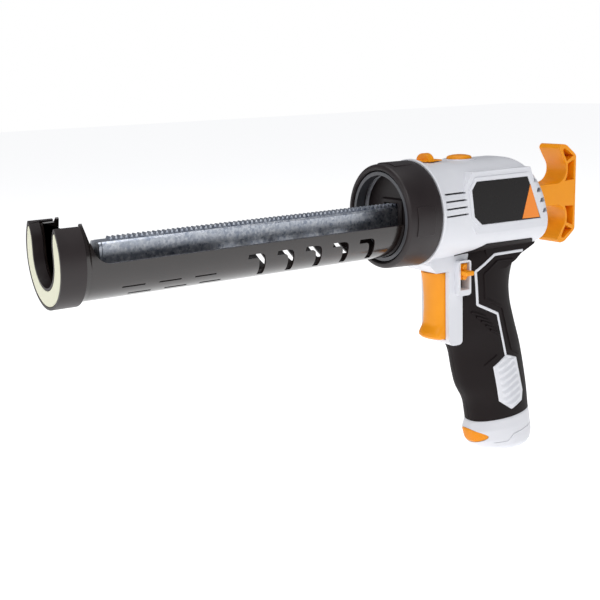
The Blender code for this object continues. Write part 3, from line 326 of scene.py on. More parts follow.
# ==== half-tube cradle ============================================================================
# Pressed from 1.2 mm steel sheet and powder painted gloss black: a half tube with its long edges
# folded in, an upswept band at the nozzle end, punched windows, and a slotted end plate.
TUBE_R = 0.0268
SHEET = 0.0012
EDGE_Z = -0.0030
TUBE_FRONT, TUBE_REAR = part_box("cradle")[0].x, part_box("cradle")[1].x
EDGE_TURN = np.arccos(-EDGE_Z / TUBE_R)
BAND_TURN = np.radians(136)
BAND_END = CAP_REAR + 0.0036
SWEEP = 0.0110                   # how far the band's rear end runs along the tube


def gloss_paint():
    """Gloss black powder paint: near-black with a warm cast, slight orange peel 2 mm wide, faint dust."""
    made, tree, shader = finish_of("gloss_black_paint", IOR=1.54, Coat_Weight=0.35, Coat_Roughness=0.06)
    place, _ = clouded(tree, shader, 90.0, 5.0, "#120D0C", "#241C1A", 0.12, 0.26)
    peel = add(tree, "ShaderNodeTexNoise", {"Vector": place, "Scale": 450.0, "Detail": 1.5})
    relieved(tree, shader, peel.outputs[0], 0.25, 0.00003)
    return made


def half_tube():
    """Outer and inner arcs at stations along X; the arc's half angle falls from the band to the edge."""
    swing = np.linspace(0, np.pi / 2, 14)
    sweep_x = BAND_END + 0.0012 + SWEEP * (1 - np.cos(swing))
    sweep_turn = EDGE_TURN + SWEEP * (1 - np.sin(swing)) / TUBE_R
    drop_turn = EDGE_TURN + ((BAND_TURN - EDGE_TURN) * TUBE_R - 0.012) / TUBE_R
    x = np.concatenate([[TUBE_FRONT, CAP_REAR + 0.0003, CAP_REAR + 0.0006, BAND_END - 0.0012, BAND_END], sweep_x,
                        [TUBE_REAR]])
    half = np.concatenate([[np.radians(129.5)] * 2, [BAND_TURN] * 2, [drop_turn], sweep_turn, [EDGE_TURN]])
    turn = half[:, None] * np.linspace(-1, 1, 97)[None, :]
    out = np.stack([np.broadcast_to(x[:, None], turn.shape), TUBE_R * np.sin(turn), -TUBE_R * np.cos(turn)], -1)
    scale = np.array([1, 1 - SHEET / TUBE_R, 1 - SHEET / TUBE_R])
    return np.concatenate([out, out[:, ::-1] * scale], axis=1)


def windows():
    """Five hook-shaped windows through both walls, and two rows of three narrow slots low on each side."""
    tools = []
    hook = np.array([(0, -8.8), (8, -8.8), (10.2, -9.4), (11.4, -10.6), (12.2, -12.8), (15.2, -23.5), (11.2, -23.5),
                     (8.4, -14.4), (7.4, -12.4), (6, -11.5), (0, -11.5)]) / 1000
    for k in range(5):
        tools.append(prism("hook", hook + (CAP_FRONT + 0.1145 + 0.02 * k, 0), "Y", -0.031, 0.031, None))
    for z, offset, height in ((-0.0182, 0.0369, 0.0009), (-0.0234, 0.0426, 0.0010)):
        for k in range(3):
            x = CAP_FRONT + offset + 0.0224 * k
            tools.append(box_of((x, -0.031, z - height / 2), (x + 0.0138, 0.031, z + height / 2)))
    return tools


paint = gloss_paint()
tube = lofted("half_tube", half_tube(), paint)
boolean(tube, "DIFFERENCE", windows())
edge_y = TUBE_R * np.sin(EDGE_TURN)
for side in (-1, 1):
    near, far = sorted((side * (edge_y - 0.0028), side * (edge_y - 0.0004)))
    lip = box_of((BAND_END + SWEEP + 0.0010, near, EDGE_Z - SHEET), (TUBE_REAR - 0.0001, far, EDGE_Z + 0.00004))
    boolean(tube, "UNION", [lip])
plate = prism("plate", c_outline(TUBE_R - 0.0005, SLOT_R + 0.0004), "X", TUBE_FRONT, TUBE_FRONT + SHEET, None)
boolean(tube, "UNION", [plate])
fit(soften(tube, 0.0003), "cradle", "black_paint", "cradle")


# ==== cradle flange ===============================================================================
# A machined steel ring welded round the tube's rear end; the collar nut clamps it to the nose.
def bare_metal(name, dark, light):
    """Machined metal with slight tarnish in clouds 6 mm wide."""
    made, tree, shader = finish_of(name, Metallic=1.0)
    clouded(tree, shader, 160.0, 5.0, dark, light, 0.22, 0.42)
    return made


steel = bare_metal("machined_steel", "#8F9297", "#D4D6DA")
flange_x0, flange_x1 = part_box("cradle_flange")[0].x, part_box("cradle_flange")[1].x
flange_in = TUBE_R + 0.0003
flange_profile = [(flange_x0, flange_in), (flange_x0, flange_in + 0.0026), (flange_x0 + 0.0046, flange_in + 0.0026),
                  (flange_x0 + 0.0046, 0.0308), (flange_x1, 0.0308), (flange_x1, flange_in)]
phosphated = moulded("phosphated_steel", "#55565A", "#3F4044", 0.34, 0.0004, 0.00001, ior=1.6)
flange = turned("flange_ring", flange_profile, "X", (0, 0, 0), phosphated, bevel=0.0003)
fit(flange, "cradle", "steel", "cradle_flange")


# ==== collar nut ==================================================================================
# The big ring nut, moulded in black glass-filled nylon, with a rounded front rim and a groove
# inside its mouth. Shallow thumb pads stand on its outside.
COLLAR_FRONT, COLLAR_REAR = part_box("collar_nut")[0].x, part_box("collar_nut")[1].x
MOUTH_R = TUBE_R + 0.0033
COLLAR_R = 0.0345
x = COLLAR_FRONT
rim = arc((x + 0.0022, COLLAR_R - 0.0022), 0.0022, np.pi, np.pi / 2, 8)
collar_profile = [(x + 0.0010, MOUTH_R + 0.0004), (x, MOUTH_R + 0.0012), (x, COLLAR_R - 0.0026)]
collar_profile += rim[1:].tolist()
collar_profile += [(COLLAR_REAR - 0.0016, 0.0354), (COLLAR_REAR - 0.0004, 0.0350), (COLLAR_REAR, 0.0344),
                   (COLLAR_REAR, 0.0314), (x + 0.0052, 0.0314), (x + 0.0052, MOUTH_R)]
collar = turned("collar_ring_nut", collar_profile, "X", (0, 0, 0), cap_black, steps=160, bevel=0.0002)
fit(collar, "collar", "black_plastic", "collar_nut")


def curved_pad(name, x0, x1, turn0, turn1, r0, r1, finish, bevel):
    """A patch of ring between two stations, two angles from the bottom (towards -Y) and two radii."""
    t = np.radians(np.linspace(turn0, turn1, 25))
    outer = np.stack([-r1 * np.sin(t), -r1 * np.cos(t)], -1)
    inner = np.stack([-r0 * np.sin(t), -r0 * np.cos(t)], -1)[::-1]
    return prism(name, np.concatenate([outer, inner]), "X", x0, x1, finish, bevel=bevel)


for k, (low_turn, high_turn) in enumerate(((72, 104), (162, 194), (252, 284))):
    pad = curved_pad("collar_pad_%d" % (k + 1), COLLAR_FRONT + 0.0060, COLLAR_REAR - 0.0060, low_turn, high_turn,
                     0.0340, 0.03535, cap_black, 0.0004)
    fit(pad, "collar", "black_plastic")


# ==== push rod and its end plate ==================================================================
# A folded steel channel with a row of rack teeth along its top, and a riveted end plate. It is
# bright zinc plated, so it shows cloudy blue-grey patches.
def zinc_plate():
    """Bright zinc: cloudy crystals 3 mm wide in blue-greys, with finer mottling 0.8 mm wide over them."""
    made, tree, shader = finish_of("bright_zinc_plate", Metallic=1.0)
    place = add(tree, "ShaderNodeTexCoord").outputs["Object"]
    cloud = add(tree, "ShaderNodeTexNoise", {"Vector": place, "Scale": 260.0, "Detail": 6.0, "Roughness": 0.65})
    fleck = add(tree, "ShaderNodeTexVoronoi", {"Vector": place, "Scale": 700.0})
    mixed_value = add(tree, "ShaderNodeMix", {0: 0.30, 2: cloud.outputs[0], 3: fleck.outputs["Color"]})
    ramp = add(tree, "ShaderNodeValToRGB", {0: mixed_value.outputs[0]})
    ramp.color_ramp.elements[0].position = 0.30
    ramp.color_ramp.elements[0].color = linear("#98A2B4")
    ramp.color_ramp.elements[1].position = 0.68
    ramp.color_ramp.elements[1].color = linear("#EEF2F8")
    spread = add(tree, "ShaderNodeMapRange", {"Value": cloud.outputs[0], "To Min": 0.20, "To Max": 0.50})
    tree.links.new(ramp.outputs[0], shader.inputs["Base Color"])
    tree.links.new(spread.outputs[0], shader.inputs["Roughness"])
    relieved(tree, shader, cloud.outputs[0], 0.25, 0.00004)
    return made


def refinish(node, finish):
    """Gives a CAD node that keeps its shape a better material."""
    coated(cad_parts[node], finish)


zinc = zinc_plate()
refinish("push_rod", zinc)
refinish("rod_end_plate", zinc)
for node in ("handle_pin", "case_screw_1", "case_screw_2", "case_screw_3", "case_screw_4", "trigger_spring",
             "latch_spring", "spring_seat", "drive_pinion", "drive_shaft", "worm_shaft", "gearbox", "motor"):
    refinish(node, steel)


# ==== pull handle =================================================================================
# Moulded in orange ABS: a T with two finger bowls and hooked tips, cored out from both sides so
# that a thin web is left in the middle. A roll pin holds it on the rod.
BODY_REAR = 0.3250
HANDLE_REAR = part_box("t_handle")[1].x
HANDLE_MID = 0.0020
HANDLE_HALF = 0.0362
HANDLE_THICK = 0.0200
BOWL_R = 0.0100
STEM_HALF = 0.0077


def handle_outline():
    """Upper half outline from the stem round the bowl, hook and back; the lower half is its mirror image."""
    x, top = HANDLE_REAR, HANDLE_HALF
    upper = np.concatenate([
        [(BODY_REAR + 0.0022, STEM_HALF)],
        arc((x - 0.0197, STEM_HALF + BOWL_R), BOWL_R, -np.pi / 2, np.radians(28), 30),
        [(x - 0.0116, 0.0236), (x - 0.0127, 0.0252), (x - 0.0139, 0.0270), (x - 0.0150, 0.0288), (x - 0.0161, 0.0306)],
        arc((x - 0.0145, top - 0.0030), 0.0029, np.radians(-170), np.radians(-272), 14),
        [(x - 0.0112, top - 0.0006), (x - 0.0096, top - 0.0013), (x - 0.0020, 0.0291), (x - 0.0006, 0.0277),
         (x, 0.0262)]])
    lower = upper[::-1] * (1, -1)
    return np.concatenate([upper, lower]) + (0, HANDLE_MID)


def handle_pockets():
    """Triangular and four-sided cores beside the web, above and below the stem, on both sides."""
    triangle = np.array([(-13.6, 31.2), (-13.3, 32.2), (-12.0, 32.9), (-10.8, 32.5), (-2.6, 27.1), (-9.3, 23.3),
                         (-11.4, 27.0)]) / 1000
    window = np.array([(-8.5, 21.5), (-2.0, 24.2), (-2.0, 9.6), (-10.6, 9.2), (-9.0, 12.2), (-8.2, 16.5)]) / 1000
    tools = []
    for outline in (triangle, window):
        for flip in (1, -1):
            flat = outline * (1, flip) + (HANDLE_REAR, HANDLE_MID)
            for side in (1, -1):
                near, far = sorted((side * 0.0020, side * HANDLE_THICK))
                tools.append(prism("pocket", flat, "Y", near, far, None))
    return tools


orange = moulded("orange_abs", "#F89F06", "#F09200", 0.40, 0.0004, 0.00003, ior=1.52, shine=0.35)
handle = prism("pull_handle", handle_outline(), "Y", -HANDLE_THICK / 2, HANDLE_THICK / 2, orange)
rod_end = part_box("push_rod")[1].x
boolean(handle, "DIFFERENCE", handle_pockets() + [
    box_of((BODY_REAR - 0.001, -0.0073, -0.0073), (rod_end + 0.0003, 0.0073, 0.0063)),
    prism("bore", arc((rod_end - 0.0060, -0.0010), 0.0019, 0, 2 * np.pi, 25)[:-1], "Y", -0.02, 0.02, None)])
fit(soften(handle, 0.0011, segments=3, angle=40), "push_rod", "orange_plastic", "t_handle")


# ==== housing halves ==============================================================================
# Two halves moulded in white ABS, screwed together on the middle plane. Each carries half of the
# barrel, the nose under the collar nut, the grip's core and the mast behind the trigger.
BODY_FRONT = COLLAR_REAR + 0.0003
BODY_LENGTH = BODY_REAR - BODY_FRONT
ROUND = 0.0100
WALL = 0.0024
GRIP_HALF = 0.0190
SKIN = 0.0024                    # rubber cover thickness
GRIP_END = np.array([-0.1580, -0.1525])
NOSE_R = 0.0310
BUTTON_X, BUTTON_R = BODY_FRONT + 0.0430, 0.0086
LOCK_X = BODY_FRONT + 0.0122
FRAME_FRONT = BODY_FRONT + 0.0212
SWITCH_X = FRAME_FRONT + 0.0105
TRIGGER_HALF = 0.0108
BODY_TABLE = np.array([
    (0.0, 0.0336, 0.0336, -0.0336, 2.1), (0.0160, 0.0316, 0.0330, -0.0330, 2.5),
    (0.0320, 0.0305, 0.0330, -0.0312, 3.0), (BODY_LENGTH, 0.0305, 0.0330, -0.0300, 3.2)])
GRIP_TABLE = np.array([
    (-0.0200, 0.0262, 0.0902, 0.0170), (-0.0300, 0.0242, 0.0942, 0.0185), (-0.0360, 0.0232, 0.0902, 0.0188),
    (-0.0430, 0.0227, 0.0866, 0.0190), (-0.0520, 0.0222, 0.0841, 0.0190), (-0.0600, 0.0222, 0.0835, 0.0190),
    (-0.0710, 0.0232, 0.0850, 0.0190), (-0.0850, 0.0270, 0.0892, 0.0190), (-0.1030, 0.0358, 0.0948, 0.0190),
    (-0.1165, 0.0383, 0.0979, 0.0190), (-0.1300, 0.0419, 0.1005, 0.0190), (-0.1425, 0.0497, 0.1020, 0.0190),
    (-0.1600, 0.0527, 0.1037, 0.0190)])
FRONT_NARROW = 0.25


def narrowing(u, z):
    """The grip is egg-shaped in plan: narrower to the front, most so below the mast."""
    share = FRONT_NARROW - 0.15 * np.clip((z + 0.100) / 0.015, 0, 1)
    return 1 - share * np.maximum(0, -u)


def oval(half_a, half_b, power, count):
    """Superellipse: |a / half_a| ** power + |b / half_b| ** power = 1."""
    t = 2 * np.pi * (np.arange(count) + 0.5) / count
    a = half_a * np.abs(np.cos(t)) ** (2 / power) * np.sign(np.cos(t))
    b = half_b * np.abs(np.sin(t)) ** (2 / power) * np.sign(np.sin(t))
    return np.stack([a, b], -1)


def rake(station, z):
    """How far the barrel's rear leans with height: eased in from 55 mm back as -0.34 z - 5.5 z ** 2."""
    share = np.clip((station - 0.055) / (BODY_LENGTH - 0.055), 0, 1)
    return share * share * (3 - 2 * share) * (-0.34 * z - 5.5 * z * z)


def barrel_rings(inset, count=112):
    """Superellipses along X; the rear edge is rounded and the rear face leans with height."""
    run = np.linspace(BODY_FRONT + inset, BODY_REAR - inset - ROUND, 34)
    bend = np.linspace(0, np.pi / 2, 12)[1:]
    stations = np.concatenate([run, BODY_REAR - inset - ROUND * (1 - np.sin(bend))])
    shrinks = np.concatenate([np.zeros(len(run)), ROUND * (1 - np.cos(bend))])
    rings = []
    for x, shrink in zip(stations, shrinks):
        half, top, bottom, power = (np.interp(x - BODY_FRONT, BODY_TABLE[:, 0], BODY_TABLE[:, k]) for k in (1, 2, 3, 4))
        half, top, bottom = half - inset - shrink, top - inset - 1.7 * shrink, bottom + inset + 0.7 * shrink
        flat = oval(half, (top - bottom) / 2, power, count)
        z = flat[:, 1] + (top + bottom) / 2
        rings.append(np.stack([x + rake(x - BODY_FRONT, z), flat[:, 0], z], -1))
    return np.array(rings)


def grip_size(z):
    """Middle, reach and half width of the grip at a height, eased over 8 mm so its lines flow."""
    steps = np.linspace(-0.004, 0.004, 9)
    rows = [np.mean([np.interp(z + s, GRIP_TABLE[::-1, 0], GRIP_TABLE[::-1, k]) for s in steps], axis=0)
            for k in (1, 2, 3)]
    front, rear, half = rows
    return BODY_FRONT + (front + rear) / 2, (rear - front) / 2, half


def grip_rings(inset, top, bottom, count=88, rows=46, power=2.4):
    """Upright slices of the grip; the lowest slopes from its front height to its rear height."""
    rings = []
    for z in np.linspace(top, bottom[0], rows):
        middle, reach, half = grip_size(z)
        flat = oval(reach - inset, half - inset, power, count)
        narrow = narrowing(flat[:, 0] / reach, z)
        lean = np.clip((top - z) / (top - bottom[0]), 0, 1) ** 6
        slope = (bottom[1] - bottom[0]) * (flat[:, 0] / reach + 1) / 2 * lean
        rings.append(np.stack([middle + flat[:, 0], flat[:, 1] * narrow, z + slope], -1))
    return np.array(rings)


def grip_side(x, z):
    """How far out the grip's side stands at a point: half (1 - |u| ** 2.4) ** (1 / 2.4)."""
    middle, reach, half = grip_size(z)
    u = np.clip((x - middle) / reach, -0.999, 0.999)
    return half * narrowing(u, z) * (1 - np.abs(u) ** 2.4) ** (1 / 2.4)


def solid_of_revolution(name, profile, axis, centre, steps=120):
    """A solid through circles of the (along, radius) profile."""
    t = np.linspace(0, 2 * np.pi, steps, endpoint=False)
    rings = [along(axis, np.stack([r * np.cos(t), r * np.sin(t)], -1), x) for x, r in profile]
    return lofted(name, np.array(rings) + np.array(centre), None)


def mast_outline(g=0.0):
    """Side outline of the block over the trigger and the mast down the front of the grip."""
    f, r, b = FRAME_FRONT, FRAME_FRONT + 0.0120, BODY_FRONT + 0.0052
    foot = arc((f + 0.0045, -0.0895), 0.0045 + g, np.pi, np.pi * 1.5, 7)
    heel = arc((r - 0.0030, -0.0910), 0.0030 + g, -np.pi / 2, 0, 6)
    return np.concatenate([
        [(b - g, -0.0260), (b - g, -0.0355 - g), (b + 0.005, -0.0410 - g), (f - g, -0.0410 - g)], foot, heel,
        [(r + g, -0.0600), (r + 0.005 + g, -0.0585), (r + 0.005 + g, -0.0260)]])


def label_outline(g=0.0):
    """Six-sided label outline on the housing's side."""
    x = BODY_FRONT
    return np.array([(x + 0.0272 - g, 0.0150), (x + 0.0312 - g / 2, 0.0206 + g), (x + 0.0772 + g / 2, 0.0206 + g),
                     (x + 0.0902 + g, -0.0095 - g), (x + 0.0362 - g / 2, -0.0088 - g), (x + 0.0297 - g, -0.0030)])


def rounded_box(x0, x1, z0, z1, r, y0, y1):
    """A block with its side outline's corners rounded."""
    corners = [arc((x1 - r, z1 - r), r, 0, np.pi / 2, 7), arc((x0 + r, z1 - r), r, np.pi / 2, np.pi, 7),
               arc((x0 + r, z0 + r), r, np.pi, 1.5 * np.pi, 7), arc((x1 - r, z0 + r), r, 1.5 * np.pi, 2 * np.pi, 7)]
    return prism("block", np.concatenate(corners), "Y", y0, y1, None)


def housing_additions():
    """The flange, nose, grip core, mast, switch surround, button boss and label surround."""
    flange_r = 0.0361
    shoulder = [(BODY_FRONT, flange_r - 0.0005), (BODY_FRONT + 0.0005, flange_r), (BODY_FRONT + 0.0018, flange_r),
                (BODY_FRONT + 0.0030, flange_r - 0.0012), (BODY_FRONT + 0.0036, flange_r - 0.0034)]
    nose_front = COLLAR_FRONT + 0.0112
    core = lofted("core", grip_rings(SKIN + 0.0003, -0.0240, GRIP_END + 0.0003), None)
    return [
        solid_of_revolution("shoulder", shoulder, "X", (0, 0, 0)),
        solid_of_revolution("nose", [(nose_front, NOSE_R - 0.0001), (BODY_FRONT + 0.001, NOSE_R - 0.0001)], "X",
                            (0, 0, 0)),
        core,
        prism("mast", mast_outline(), "Y", -0.0150, 0.0150, None),
        rounded_box(SWITCH_X - 0.0055, SWITCH_X + 0.0055, -0.0585, -0.0340, 0.0022, -GRIP_HALF - 0.0004, 0.0),
        solid_of_revolution("boss", [(0.0300, BUTTON_R + 0.0030), (0.0331, BUTTON_R + 0.0027),
                                     (0.0336, BUTTON_R + 0.0022)], "Z", (BUTTON_X, 0, 0), 72),
        prism("step", label_outline(0.0062), "Y", -0.0308, 0.0308, None),
        prism("surround", label_outline(0.0026), "Y", -0.0315, 0.0315, None)]


def housing_cutters():
    """Hollows of barrel, nose and grip, and the ways for rod, trigger, button, lock, switch and vents."""
    tools = [
        lofted("hollow", barrel_rings(WALL, 64), None),
        lofted("grip_hollow", grip_rings(SKIN + 0.0025, -0.0180, GRIP_END - 0.004, 48, 24), None),
        solid_of_revolution("nose_hollow", [(COLLAR_FRONT + 0.0102, NOSE_R - 0.0026),
                                            (BODY_FRONT + 0.006, NOSE_R - 0.0026)], "X", (0, 0, 0), 72),
        box_of((BODY_REAR - 0.03, -0.0074, -0.0074), (BODY_REAR + 0.02, 0.0074, 0.0084)),
        box_of((BODY_FRONT - 0.02, -TRIGGER_HALF - 0.0004, -0.0900),
               (FRAME_FRONT + 0.017, TRIGGER_HALF + 0.0004, -0.0422)),
        solid_of_revolution("button_way", [(0.025, BUTTON_R + 0.0004), (0.045, BUTTON_R + 0.0004)], "Z",
                            (BUTTON_X, 0, 0), 72),
        box_of((LOCK_X - 0.0014, -0.0045, 0.026), (LOCK_X + 0.0074, 0.0045, 0.045)),
        box_of((SWITCH_X - 0.0040, -0.03, -0.0545), (SWITCH_X + 0.0040, -0.0100, -0.0355))]
    for side in (-1, 1):
        low, high = sorted((side * 0.0200, side * 0.0400))
        for k, (z, rear) in enumerate(((0.0140, 0.0225), (0.0092, 0.0232), (0.0044, 0.0240), (-0.0004, 0.0247))):
            tools.append(box_of((BODY_FRONT + 0.0046, low, z - 0.0006), (BODY_FRONT + rear, high, z + 0.0006)))
        near, far = sorted((side * 0.0311, side * 0.0400))
        tools.append(prism("recess", label_outline(0.0001), "Y", near, far, None))
        near, far = sorted((side * 0.0290, side * 0.0400))
        crease = np.array([(0.0330, -0.0149), (0.0940, -0.0158), (0.0940, -0.0151), (0.0330, -0.0141)])
        tools.append(prism("crease", crease + (BODY_FRONT, 0), "Y", near, far, None))
        near, far = sorted((side * 0.0235, side * 0.0400))
        for x, z in ((0.0858, 0.0172), (0.0892, 0.0100), (0.0925, 0.0028), (0.0954, -0.0046)):
            slant = np.array([(-2.4, -1.5), (4.5, -1.5), (5.5, 1.5), (-1.4, 1.5)]) / 1000 + (BODY_FRONT + x, z)
            tools.append(prism("notch", slant, "Y", near, far, None))
    return tools


def halved(whole, names, finish):
    """Cuts a solid along the middle plane into a left and a right piece 0.3 mm apart."""
    halves = []
    for made_name, side in zip(names, (-1, 1)):
        half = whole.copy()
        half.data = whole.data.copy()
        half.name = half.data.name = made_name
        bpy.context.scene.collection.objects.link(half)
        low, high = sorted((side * 0.00015, -side * 0.08))
        boolean(half, "DIFFERENCE", [box_of((0.10, low, -0.30), (0.50, high, 0.20))])
        halves.append(coated(half, finish))
    bpy.data.objects.remove(whole, do_unlink=True)
    return halves


SCREWS = ((0.0602, 0.0245, 0.0188), (0.0142, -0.0350, 0.0135),      # station, height, post end
          (0.0882, -0.0195, 0.0225), (0.0752, -0.0880, 0.0120))
HEAD_BORE = 0.0030


def across(name, x, z, radius, low, high):
    """A round bar across the gun at a station and a height."""
    return solid_of_revolution(name, [(low, radius), (high, radius)], "Y", (BODY_FRONT + x, 0, z), 40)


white = moulded("white_abs", "#E2E3E7", "#DADBE1", 0.36, 0.0005, 0.00003, ior=1.52)
shell = lofted("shell", barrel_rings(0.0), white)
boolean(shell, "UNION", housing_additions())
boolean(shell, "DIFFERENCE", housing_cutters())
for half, word in zip(halved(shell, ("housing_shell_left", "housing_shell_right"), white), ("left", "right")):
    if word == "right":
        boolean(half, "UNION", [across("post", x, z, 0.0044, 0.0030, end) for x, z, end in SCREWS])
        boolean(half, "DIFFERENCE", [across("head", x, z, HEAD_BORE, 0.0080, 0.0500) for x, z, _ in SCREWS])
        boolean(half, "DIFFERENCE", [across("bore", x, z, 0.0018, -0.0010, 0.0090) for x, z, _ in SCREWS])
        coated(half, white)
    fit(soften(half, 0.0003, angle=40), "housing", "white_plastic", "housing_" + word)


# ==== rubber grip covers ==========================================================================
# Soft black thermoplastic rubber moulded over the grip, with a wing that runs back under the
# housing, raised ribs for the fingers, and white lines and a ribbed pad showing through.
def soft_rubber():
    """Matt thermoplastic rubber: almost black, warm, with a 0.4 mm leathery grain."""
    made, tree, shader = finish_of("soft_black_rubber", IOR=1.50, Specular_IOR_Level=0.18)
    place, _ = clouded(tree, shader, 60.0, 4.0, "#120B0C", "#1B1314", 0.52, 0.68)
    grain = add(tree, "ShaderNodeTexVoronoi", {"Vector": place, "Scale": 2200.0})
    relieved(tree, shader, grain.outputs["Distance"], 0.5, 0.00006)
    return made


def wing_skin(side):
    """Strip over the barrel's lower corner, from a stated top line down to the grip, 0.5 mm proud."""
    x = np.linspace(0.0255, 0.0900, 60)
    top = np.interp(x, [0.0242, 0.0372, 0.0462, 0.0852, 0.0900], [-0.0300, -0.0272, -0.0232, -0.0240, -0.0286])
    half, high, low, power = (np.interp(x, BODY_TABLE[:, 0], BODY_TABLE[:, k]) for k in (1, 2, 3, 4))
    middle, tall = (high + low) / 2, (high - low) / 2
    start = np.arcsin(np.clip((middle - top) / tall, 0, 0.995) ** (power / 2))
    stop = np.arccos((0.0150 / half) ** (power / 2))
    t = start[:, None] + (np.maximum(stop, start + 0.05) - start)[:, None] * np.linspace(0, 1, 24)[None, :]
    rings = []
    for grow in (0.0005, -0.0006):
        y = (half[:, None] + grow) * np.cos(t) ** (2 / power[:, None])
        z = middle[:, None] - (tall[:, None] + grow) * np.sin(t) ** (2 / power[:, None])
        rings.append(np.stack([BODY_FRONT + x[:, None] + rake(x[:, None], z), side * y, z], -1))
    return np.concatenate([rings[0], rings[1][:, ::-1]], axis=1)


WEB_HALF = 0.0186


def web():
    """Gusset from the grip's rear back under the barrel, as wide as the grip."""
    side = np.array([(0.0480, -0.0215), (0.0860, -0.0215), (0.0950, -0.0250), (0.0978, -0.0278), (0.0970, -0.0296),
                     (0.0915, -0.0322), (0.0845, -0.0352), (0.0795, -0.0392), (0.0700, -0.0440), (0.0560, -0.0440)])
    return prism("web", side + (BODY_FRONT, 0), "Y", -WEB_HALF, WEB_HALF, None)


rubber = soft_rubber()
grip = lofted("grip", grip_rings(0.0, -0.0235, GRIP_END + 0.0003, 112, 70), rubber)
boolean(grip, "DIFFERENCE", [
    lofted("core", grip_rings(SKIN, -0.0180, GRIP_END - 0.004), None),
    prism("mast", mast_outline(0.0003), "Y", -0.0153, 0.0153, None),
    rounded_box(SWITCH_X - 0.0058, SWITCH_X + 0.0058, -0.0588, -0.0337, 0.0024, -GRIP_HALF - 0.003, 0.0)])
gusset = web()
boolean(gusset, "DIFFERENCE", [
    lofted("core", grip_rings(SKIN - 0.0001, -0.0180, GRIP_END - 0.004), None),
    lofted("barrel", barrel_rings(-0.0002, 80), None)])
boolean(grip, "UNION", [gusset])
for cover, word in zip(halved(grip, ("grip_rubber_left", "grip_rubber_right"), rubber), ("left", "right")):
    if word == "right":
        boolean(cover, "DIFFERENCE", [across("head", *SCREWS[3][:2], HEAD_BORE + 0.0003, 0.0040, 0.0500)])
        coated(cover, rubber)
    fit(soften(cover, 0.0003, angle=40), "housing", "rubber", "grip_cover_" + word)
for word, side in (("left", -1), ("right", 1)):
    fit(lofted("grip_wing_" + word, wing_skin(side), rubber), "housing", "rubber")


def spaced(path, shares):
    """Points at shares of the length of a path of straight runs."""
    length = np.concatenate([[0], np.cumsum(np.linalg.norm(np.diff(path, axis=0), axis=1))])
    return np.stack([np.interp(shares * length[-1], length, path[:, k]) for k in (0, 1)], -1)


def strip(name, path, width, height, side, finish, body="housing", slot="rubber", steps=90, crown=0.6):
    """A raised line on the grip's side along a path of (x, z) points in mm, its edges rounded down."""
    path = np.asarray(path, float) / 1000
    line = spaced(path, np.linspace(0, 1, steps))
    run = np.gradient(line, axis=0)
    run /= np.linalg.norm(run, axis=1)[:, None]
    beside = np.stack([-run[:, 1], run[:, 0]], -1)
    w = np.linspace(-1, 1, 9)
    flat = line[:, None, :] + beside[:, None, :] * w[None, :, None] * width / 2
    lift = height * (1 - crown * np.abs(w) ** 6)
    out = grip_side(flat[..., 0], flat[..., 1])
    out = np.where(flat[..., 1] > -0.0400, np.maximum(out, WEB_HALF), out) + lift[None, :]
    top = np.stack([flat[..., 0], side * out, flat[..., 1]], -1)
    under = top.copy()[:, ::-1]
    under[..., 1] -= side * (height + 0.0008)
    return fit(lofted(name, np.concatenate([top, under], axis=1), finish), body, slot)


RIBS = [[(263.5 + 4.0 * k, -72.0 - 3.6 * k), (275.0 + 3.2 * k, -76.5 - 3.6 * k)] for k in range(5)]
INLAY = [(309.5, -33.2), (283.0, -33.2), (266.5, -43.5), (268.0, -67.0), (286.0, -75.8), (294.0, -107.5)]
STEP_LINES = [
    [(300.0, -38.5), (285.5, -38.0), (273.5, -46.0), (274.5, -63.5), (291.0, -72.0), (300.0, -104.0), (309.0, -109.0)],
    [(277.0, -113.5), (286.5, -106.5)]]


def pad_skin(side):
    """Ribbed pad: rows between its two edges, 0.7 mm proud, with six slanting ribs 0.5 mm high."""
    left = np.array([(294.0, -107.0), (283.5, -115.0), (290.0, -142.0), (300.0, -149.2)]) / 1000
    right = np.array([(294.2, -107.0), (305.5, -111.0), (312.5, -137.0), (311.0, -144.5), (300.3, -149.2)]) / 1000
    v = np.linspace(0.0, 1.0, 110)
    edges = [spaced(edge, v) for edge in (left, right)]
    u = np.linspace(0, 1, 41)
    flat = edges[0][:, None] * (1 - u)[None, :, None] + edges[1][:, None] * u[None, :, None]
    width = np.linalg.norm(edges[1] - edges[0], axis=1)[:, None]
    rim = np.minimum(np.minimum(u, 1 - u)[None, :] * width, np.minimum(v, 1 - v)[:, None] * 0.04)
    crown = np.clip(rim / 0.0008, 0, 1)
    crown = crown * (2 - crown)
    inner = np.clip((rim - 0.0030) / 0.0012, 0, 1)
    slanted = (flat[..., 1] * 1000 - 0.45 * (flat[..., 0] * 1000 - 298) + 118.0) / 5.6
    rib = np.abs(np.cos(np.pi * slanted)) ** 1.6 * inner * 0.0011 - inner * 0.0004
    out = grip_side(flat[..., 0], flat[..., 1]) + 0.0007 * crown + rib
    top = np.stack([flat[..., 0], side * out, flat[..., 1]], -1)
    under = top[:, ::-1].copy()
    under[..., 1] = side * (grip_side(flat[..., 0], flat[..., 1]) - 0.0012)[:, ::-1]
    return np.concatenate([top, under], axis=1)


for word, side in (("left", -1), ("right", 1)):
    strip("grip_inlay_" + word, INLAY, 0.0019, 0.0003, side, white, slot="white_plastic", steps=160)
    for k, rib in enumerate(RIBS):
        strip("finger_rib_%s_%d" % (word, k + 1), rib, 0.0016, 0.0010, side, rubber, steps=24)
    for k, line in enumerate(STEP_LINES):
        strip("grip_step_%s_%d" % (word, k + 1), line, 0.0014, 0.0007, side, rubber, steps=120)
    fit(lofted("palm_pad_" + word, pad_skin(side), white), "housing", "white_plastic")


